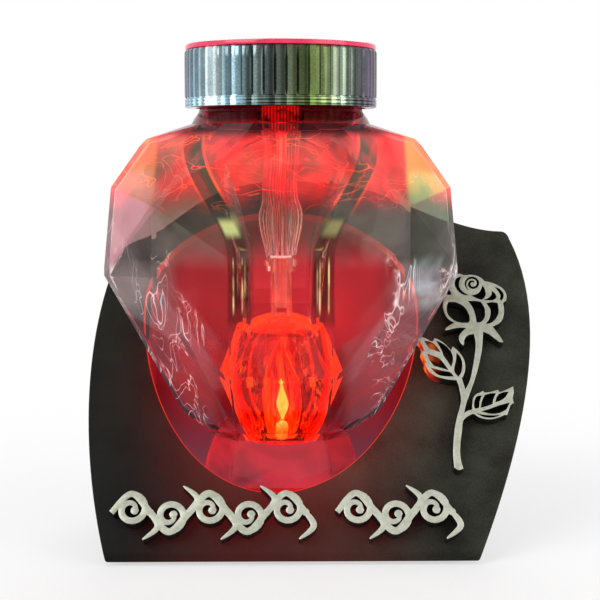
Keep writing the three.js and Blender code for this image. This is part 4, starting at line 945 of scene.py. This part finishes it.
# Battery tray and switch housing: moulded dark plastic with a fine sparked texture. The tray hangs in
# the jar's neck by its flange.
plastic, tree, shader, surface = grained(
    "Moulded dark plastic", 1600, (34, 24, 23), (58, 44, 42), (0.35, 0.55), Specular_IOR_Level=0.5, Emission_Strength=1,
)
relief(shader, surface["Height"], 0.15, 0.1)
for node in ("battery_tray", "switch_housing", "driver_chip"):
    fit(softened(node + "_moulding", node, 0.25 * MM), "lid_insert", "dark_plastic", plastic, node)

# Battery cells: two steel cells in a plain grey shrink sleeve that leaves their ends bare. They lie side
# by side in the tray, held between its contacts.
SLEEVE_HALF_LENGTH = 23.2 * MM
sleeve, tree, shader, surface = grained(
    "Cell sleeve", 500, (58, 62, 70), (86, 90, 98), (0.25, 0.4), Specular_IOR_Level=0.5,
)
place, along, across, up = place_in(tree)
end = maths("GREATER_THAN", off(along), SLEEVE_HALF_LENGTH)
paint(shader, Base_Color=mixed(end, surface["Color"], colour(190, 192, 194)), Metallic=end)
for index in (1, 2):
    node = f"battery_cell_{index}"
    fit(softened(node + "_sleeve", node, 0.3 * MM, 35), "lid_insert", "cell", sleeve, node, smooth=35)

# Contacts: plates of bright brass strip that stand at both ends of the tray, and a brass disc pressed
# into the upper stem's foot, where the wires end.
brass = grained(
    "Brass strip", 900, (176, 132, 60), (226, 186, 104), (0.2, 0.36), Metallic=1, Emission_Strength=1,
)[0]
for node in ("contact_bridge", "contact_plus", "contact_minus", "stem_contact"):
    fit(softened(node + "_strip", node, 0.12 * MM), "lid_insert", "brass", brass, node)

# Driver board and lamp board: green laminate with printed tracks. The driver board lies on the tray's
# floor in front of the cells, and the lamp board on the globe's base, under the flame.
circuit, tree, shader, surface = grained(
    "Green circuit board", 700, (18, 70, 40), (34, 96, 58), (0.3, 0.45), Specular_IOR_Level=0.5,
)
place, along, across, up = place_in(tree)
tracks = add_node(tree, "TexBrick", {
    "Vector": place, "Color1": (1, 1, 1, 1), "Color2": (1, 1, 1, 1), "Mortar": (0, 0, 0, 1), "Scale": 160,
    "Mortar Size": 0.04, "Brick Width": 0.9, "Row Height": 0.35,
}).outputs["Color"]
paint(shader, Base_Color=mixed(tracks, colour(70, 140, 84), surface["Color"]))
fit(softened("driver_board_card", "driver_board", 0.1 * MM), "lid_insert", "circuit", circuit, "driver_board")
fit(softened("lamp_board_card", "lamp_board", 0.1 * MM), "globe", "circuit", circuit, "lamp_board")

# Switch slider and globe base: moulded in the lid cap's see-through red plastic. The slider runs in
# its housing, and the base closes the globe from below.
red, tree, shader, surface = grained(
    "See-through red plastic", 300, (178, 34, 56), (214, 70, 92), (0.12, 0.22),
    Transmission_Weight=0.35, IOR=1.49, Emission_Strength=1,
)
# Painted light as emission: the flame's glow in the plastic, and a crimson glow in patches on the cap's top.
light = add_effect(
    tree, glow, Reach=0.06, Near=colour(255, 90, 30), Far=colour(190, 10, 8), Patches=0.3, Patch_scale=90,
)
place, along, across, up = place_in(tree)
cap_light = product(rise(up, 209, 209.6), clouds(place, 90, low=0.2, high=0.5))
paint(shader, Emission_Color=lights(light["Color"], ((0.3, 0.003, 0.045), cap_light)))
fit(softened("switch_slider_knob", "switch_slider", 0.2 * MM), "switch", "red_plastic", red, "switch_slider")
fit(softened("globe_base_plate", "globe_base", 0.3 * MM), "globe", "red_plastic", red, "globe_base")

# Stem socket: a round socket of the tray's dark plastic, fixed under the tray, that holds the stem. Its
# ribbed neck is lit red from the stem.
RIBS_PER_METRE = 4600
socket_profile = [
    (7.7, 176.6), (9.6, 176.6), (10.1, 177), (10.2, 177.3), (10.2, 180.6), (9.9, 181.1), (8.4, 181.3), (8.9, 181.9),
    (8.9, 182.2), (8.4, 182.6), (8.9, 183.1), (8.9, 183.4), (8.4, 183.9), (8.9, 184.3), (8.4, 184.7), (9.9, 184.8),
    (10.2, 185.1), (10.2, 186.6), (9.9, 186.9), (2.4, 186.9), (2.4, 182.2), (7.7, 182.2),
]


def relit(finish, name):
    """A copy of a finish for light of its own, as (finish, its node tree, its shader)."""
    copy = finish.copy()
    copy.name = name
    return copy, copy.node_tree, copy.node_tree.nodes["Principled BSDF"]


socket = turned("stem_socket_moulding", socket_profile, 72)
socket_plastic, tree, shader = relit(plastic, "Lit dark plastic")
place, along, across, up = place_in(tree)
ribs = between(maths("SINE", product(along, RIBS_PER_METRE)), -0.6, 0.4, 0.25, 1)
lit = product(rise(off(along), 8.6, 7.4), ribs, rise(up, 186.5, 185.5), clouds(place, 200, low=0.3, high=0.55))
paint(shader, Emission_Color=tinted((3.2, 0.12, 0.06), lit))
fit(socket, "lid_insert", "dark_plastic", socket_plastic, "stem_socket")

# Upper stem: a clear moulded tube with flutes, straight below its top, flared near its foot. Red light
# runs up it in streaks.
STEM_TOP, STEM_FOOT = 176.3, 123.1
FLUTES = 12
FLUTE_DEPTH_SHARE = 0.07
STEM_BORE = 6.2
stem_profile = [
    (5.2, STEM_FOOT), (6.6, STEM_FOOT), (6.8, STEM_FOOT + 0.3), (7.3, 126), (8.2, 130), (9.1, 134), (9.55, 138),
    (9.6, 140), (9.3, 142), (8.5, 144.6), (7.9, 146.6), (7.7, 149), (7.7, 158), (7.7, 168), (7.8, 171), (8.3, 173.4),
    (8.9, STEM_TOP - 0.2), (8.8, STEM_TOP), (7.4, STEM_TOP), (7.4, 181.4), (7.2, 181.6), (5.2, 181.6),
]
stem = turned("stem_upper_tube", stem_profile, 8 * FLUTES)
for corner in stem.data.vertices:
    radius = math.hypot(corner.co.x, corner.co.y)
    if (STEM_FOOT + 0.4) * MM < corner.co.z < (STEM_TOP - 0.4) * MM and radius > STEM_BORE * MM:
        turn = math.atan2(corner.co.y, corner.co.x)
        scale = 1 - FLUTE_DEPTH_SHARE * (1 - math.cos(FLUTES * turn)) / 2
        corner.co.x *= scale
        corner.co.y *= scale


def lengthwise(turn, up, around, down, scale, low, high):
    """Streaks that run down a turned piece."""
    inputs = {"X": product(turn, around), "Y": product(up, down)}
    pulled = add_node(tree_of(turn), "CombineXYZ", inputs).outputs[0]
    return between(noise(pulled, scale, 3), low, high)


clear, tree, shader = new_finish("Clear moulded plastic", IOR=1.4, Roughness=0.03, **SEE_THROUGH)
place, along, across, up = place_in(tree)
turn = maths("ARCTAN2", across, along)
# Painted light as emission: red streaks, stronger low down, pale highlight lines, and a bright red line down the middle
# near the top.
rising = product(lengthwise(turn, up, 3.2, 7, 3, 0.5, 0.6), rise(up, 160, 115, 0.5, 1))
pale_lines = lengthwise(turn, up, 4.1, 4, 3.4, 0.56, 0.62)
olive_lines = lengthwise(turn, up, 3.1, 5, 2.2, 0.4, 0.6)
middle = product(rise(off(along), 3, 1), rise(up, 145, 170))
paint(
    shader, Base_Color=mixed(olive_lines, (0.9, 0.66, 0.68, 1), (0.66, 0.6, 0.5, 1)),
    Emission_Color=lights(((0.5, 0.03, 0.035), rising), ((0.5, 0.3, 0.3), pale_lines), ((1.2, 0.03, 0.02), middle)),
)
fit(stem, "lid_insert", "clear_plastic", clear, "stem_upper", smooth=40)

# Stem collar and lower stem: clear moulded plastic. The collar's bayonet slots hold the lower stem's
# two studs, so that the globe twists off.
collar = softened("stem_collar_sleeve", "stem_collar", 0.2 * MM, 35)
lower = softened("stem_lower_tube", "stem_lower", 0.15 * MM, 35)
lit_clear, tree, shader = relit(clear, "Lit clear plastic")
light = add_effect(
    tree, glow, Reach=0.085, Near=(0.6, 0.05, 0.02, 1), Far=(0.5, 0.04, 0.02, 1), Patches=0.7, Patch_scale=160,
)
paint(shader, Emission_Color=light["Color"])
fit(collar, "lid_insert", "clear_plastic", lit_clear, "stem_collar", smooth=35)
fit(lower, "globe", "clear_plastic", lit_clear, "stem_lower", smooth=35)

# Wires: two copper wires in red plastic insulation, soldered to the driver board and led down inside
# the stem to its contact disc.
insulation = grained("Red insulation", 600, (140, 24, 20), (186, 40, 32), (0.35, 0.5), Specular_IOR_Level=0.5)[0]
for node in ("wire_1", "wire_2"):
    fit(softened(node + "_insulation", node, 0), "lid_insert", "wire", insulation, node, smooth=80)

# Globe: a faceted shell of clear red plastic, moulded thick, that hangs on the lower stem and takes the
# flame's light in its walls.
globe_red, tree, shader = new_finish(
    "Clear red plastic", Base_Color=(0.8, 0.05, 0.02, 1), IOR=1.2, Roughness=0.03, **SEE_THROUGH,
)
light = add_effect(
    tree, glow, Reach=0.045, Near=(0.45, 0.012, 0.002, 1), Far=(0.12, 0.001, 0, 1), Patches=0.9, Patch_scale=75,
)
place, along, across, up = place_in(tree)
relief(shader, noise(place, 90, 2), 0.15, 1)
fire_lines = add_effect(tree, streaks, Stretch=(1.5, 1.5, 0.7), Scale=110, Width=0.02, Cover=0.6)["Mask"]
# Painted light: the facets that face neither front nor back glow bright red, as a painted bright outline of the thick
# walls.
facing_sideways = between(off(facing(tree, (0, 1, 0), "True Normal")), 0.5, 0.15)
shown = lights(light["Color"], ((0.9, 0.1, 0.01), fire_lines), ((1.1, 0.05, 0.006), facing_sideways))
paint(shader, Emission_Color=shown)
globe_edge, tree, shader = new_finish(
    "Lit red edge", Base_Color=(1, 0.2, 0.1, 1), IOR=1.2, Roughness=0.05, **SEE_THROUGH,
)
place, along, across, up = place_in(tree)
paint(shader, Emission_Color=mixed(clouds(place, 110), (1.1, 0.04, 0.008, 1), (1.8, 0.28, 0.03, 1)))
globe = softened("globe_shell_moulding", "globe_shell", 1.1 * MM, 12, finishes=(globe_red, globe_edge))
fit(globe, "globe", "globe_red", None, "globe_shell", smooth=25)

# Flame: a clear teardrop lens over a small emitter, which burns white-yellow at its foot and orange
# towards its tip. Two brass conductors bow round it.
lens_profile = [
    (0, 69.2), (0.7, 67.2), (1.2, 65.2), (2.1, 62.4), (2.9, 59.8), (2.9, 57.6), (2.2, 55.2), (2.8, 52), (4.3, 46.2),
    (6.1, 46.2), (6.9, 49), (7.7, 52.4), (8.2, 56), (8.45, 59), (8.5, 61.2), (8.4, 64), (7.8, 67.7), (7, 71),
    (5.95, 74.4), (4.8, 77.5), (3.55, 80.6), (2.5, 83), (1.5, 85.2), (0.8, 86.6), (0, 87.6),
]
lens = turned("flame_lens_drop", lens_profile, 72)
flame, tree, shader = new_finish(
    "Clear flame lens", Base_Color=(1, 0.7, 0.4, 1), IOR=1.4, Roughness=0.04, **SEE_THROUGH,
)
place, along, across, up = place_in(tree)
licks = product(lengthwise(maths("ARCTAN2", across, along), up, 1.9, 22, 3.2, 0.5, 0.6), rise(up, 90, 60))
paint(shader, Emission_Color=lights(((0.5, 0.015, 0), rise(up, 90, 50)), ((2.4, 1.3, 0.15), licks)))
fit(lens, "globe", "flame", flame, "flame_lens", smooth=60)

drop_profile = [
    (0, 52.3), (0.5, 52.4), (0.8, 53.6), (1.9, 55.6), (2.6, 57.8), (2.6, 59.6), (1.8, 62.2), (0.9, 65), (0.4, 67),
    (0, 68.6),
]
drop = turned("flame_lens_core", drop_profile, 32)
emitter_profile = [
    (0, 46.2), (2.4, 46.2), (2.5, 46.4), (2.5, 49.6), (2.3, 50.6), (1.8, 51.3), (1, 51.8), (0, 51.9),
]
emitter = turned("light_emitter_dome", emitter_profile, 48)
hot, tree, shader = new_finish(
    "Burning emitter", Base_Color=(1, 0.8, 0.5, 1), Roughness=0.3, Emission_Strength=36,
)
place, along, across, up = place_in(tree)
hottest = mixed(clouds(place, 300), (1, 0.7, 0.2, 1), (1, 0.9, 0.6, 1))
paint(shader, Emission_Color=mixed(rise(up, 46, 55), (0.4, 0.1, 0.01, 1), hottest))
fit(drop, "globe", "flame", hot, smooth=60)
fit(emitter, "globe", "flame", hot, "light_emitter", smooth=60)

CLIP_HEIGHT = 67.6 * MM
conductor_brass, tree, shader = relit(brass, "Lit brass")
place, along, across, up = place_in(tree)
# Painted light: the conductors glow red all along, and bright yellow in a narrow band at the clip's height.
clip = rise(off(up, CLIP_HEIGHT), 2.6, 1.6)
paint(shader, Emission_Color=mixed(clip, (0.4, 0.02, 0.003, 1), (3, 2, 0.2, 1)))
for node in ("conductor_left", "conductor_right"):
    fit(softened(node + "_strip", node, 0.1 * MM, 40), "globe", "brass", conductor_brass, node, smooth=50)

# Lid ring: moulded plastic, metallised to a bright grey. Its skirt has 54 flat ribs between narrow
# grooves, over a plain band with two fine lines.
RIBS = 54
STEPS_PER_RIB = 6
GROOVE_DEPTH, RIB_EDGE_DEPTH = 0.8, 0.12
RIB_FACE, RIB_FOOT = 40.6, 189.6
lid_profile = [
    (36.2, 185.5), (40.1, 185.5), (40.6, 185.8), (40.75, 186.2), (40.4, 186.5), (40.75, 186.8), (40.75, 187.6),
    (40.4, 187.9), (40.75, 188.2), (40.75, 188.9), (40.3, 189.2), (40.3, 189.5), (40.75, 189.8), (40.8, 192),
    (40.8, 198), (40.8, 204), (40.75, 208.6), (40.4, 209.2), (39.8, 209.8), (36.2, 209.8), (36.2, 205.2),
    (31.9, 205.2), (31.9, 203.2), (36.2, 203.2),
]
lid = turned("lid_ring_ribbed", lid_profile, RIBS * STEPS_PER_RIB)
for corner in lid.data.vertices:
    radius = math.hypot(corner.co.x, corner.co.y)
    if radius > RIB_FACE * MM and corner.co.z > RIB_FOOT * MM:
        turn = math.atan2(corner.co.y, corner.co.x) / (2 * math.pi) * RIBS
        off_groove = abs(turn - round(turn)) * STEPS_PER_RIB
        drop = GROOVE_DEPTH if off_groove < 0.5 else RIB_EDGE_DEPTH if off_groove < 1.5 else 0
        corner.co.x *= 1 - drop * MM / radius
        corner.co.y *= 1 - drop * MM / radius
silver, tree, shader, surface = grained(
    "Metallised lid", 1500, (190, 190, 186), (255, 255, 255), (0.12, 0.3), Metallic=1,
)
relief(shader, surface["Height"], 0.08, 0.1)
place, along, across, up = place_in(tree)
# Painted reflections in the metal's colour: pale blue-white towards the left, dark grey-green in the middle and olive
# towards the right, as the room it mirrors. Each rib gets a random brightness, a painted highlight along one side and
# painted shade along the other, and the band below the ribs is twice as bright.
rib_place = product(maths("ARCTAN2", across, along), RIBS / (2 * math.pi))
chance = add_node(tree, "TexWhiteNoise", {"W": maths("FLOOR", rib_place)}, noise_dimensions="1D").outputs["Value"]
rib_highlight = between(maths("FRACT", rib_place), 0.35, 0.65, 1.35, 0.6)
foot_band = rise(up, 189.2, 189.8, 2, 1)
room_reflection = shades(rise(along, -41, 41), [
    (0, (80, 78, 100)), (0.008, (150, 184, 202)), (0.08, (225, 246, 250)), (0.13, (150, 180, 194)),
    (0.2, (120, 146, 156)), (0.27, (84, 98, 98)), (0.45, (72, 80, 75)), (0.6, (68, 76, 56)), (0.72, (80, 94, 54)),
    (0.8, (94, 106, 68)), (0.88, (102, 114, 98)), (0.95, (70, 76, 72)), (1, (70, 60, 78)),
])
speckled_reflection = vectors("MULTIPLY", room_reflection, surface["Color"])
paint(shader, Base_Color=tinted(speckled_reflection, product(between(chance, 0, 1, 0.9, 2.1), rib_highlight, foot_band)))
fit(lid, "lid_insert", "lid_silver", silver, "lid_ring", smooth=28)

# Lid cap: a moulded disc of the see-through red plastic with a raised rim. Its short skirt presses it
# into the ring's top, over the battery tray.
cap_profile = [
    (0, 209.8), (34.7, 209.8), (34.7, 206.1), (34.9, 206), (35.7, 206), (35.9, 206.2), (35.9, 209.8), (40.2, 209.8),
    (40.4, 210), (40.4, 211.1), (40.2, 211.6), (39.7, 211.9), (38.9, 212), (30, 211.9), (29.4, 211.7), (28.8, 211.9),
    (0, 212),
]
cap = turned("lid_cap_disc", cap_profile, 120)
fit(cap, "cap", "red_plastic", red, "lid_cap", smooth=35)

# Stage: a pale floor that shows white round the lamp, soft lamps to the left, right and back, and the
# camera of the photograph.
CAMERA_PLACE = (0, -0.592, 0.1675)
CAMERA_DIP, CAMERA_SWING = 6.188, -0.79
FLOOR_DROP = 0.0005


def soft_lamp(name, place, aim, size, power, tone=(1, 1, 1)):
    select_only()
    bpy.ops.object.light_add(type="AREA", location=place)
    lamp = bpy.context.object
    lamp.name = name
    lamp.data.size = size
    lamp.data.energy = power
    lamp.data.color = tone
    lamp.rotation_euler = (Vector(aim) - Vector(place)).to_track_quat("-Z", "Y").to_euler()


def seen_ray(tree):
    """One for a ray that shows what it meets, straight, in a reflection or through glass."""
    path = add_node(tree, "LightPath").outputs
    return maths("MAXIMUM", maths("MAXIMUM", path["Is Camera Ray"], path["Is Glossy Ray"]), path["Is Transmission Ray"])


soft_lamp("key_lamp", (-1.1, -0.9, 1.1), (0, 0, 0.1), 1.2, 17)
soft_lamp("fill_lamp", (1.4, -0.7, 0.7), (0, 0, 0.1), 1.2, 9)
soft_lamp("rim_lamp", (0.2, 1.3, 1.3), (0, 0, 0.12), 1.2, 14)

bpy.ops.mesh.primitive_plane_add(size=8, location=(0, 0, -FLOOR_DROP))
floor = bpy.context.object
floor.name = "floor"
floor_paint, tree, shader = new_finish(
    "Pale floor", Base_Color=(0.9, 0.9, 0.9, 1), Roughness=0.9, Specular_IOR_Level=0.1,
)
reach = vectors("LENGTH", add_node(tree, "TexCoord").outputs["Object"])
part = product(seen_ray(tree), between(reach, 0.12, 0.4, 0.6, 1))
white = add_node(tree, "Emission", {"Color": (1, 1, 1, 1), "Strength": 1}).outputs[0]
floor_surface = add_node(tree, "MixShader", {0: part, 1: shader.outputs[0], 2: white}).outputs[0]
paint(tree.nodes["Material Output"], Surface=floor_surface)
floor.data.materials.append(floor_paint)

world = bpy.data.worlds.new("Studio")
bpy.context.scene.world = world
world.use_nodes = True
tree = world.node_tree
paint(tree.nodes["Background"], Color=(1, 1, 1, 1), Strength=between(seen_ray(tree), 0, 1, 0.4, 1))

select_only()
tilt = (math.radians(90 - CAMERA_DIP), 0, math.radians(CAMERA_SWING))
bpy.ops.object.camera_add(location=CAMERA_PLACE, rotation=tilt)
camera = bpy.context.object
camera.name = "photo_camera"
camera.data.sensor_width = 36
camera.data.lens = 82.56
bpy.context.scene.camera = camera
bpy.context.scene.view_settings.view_transform = "Standard"
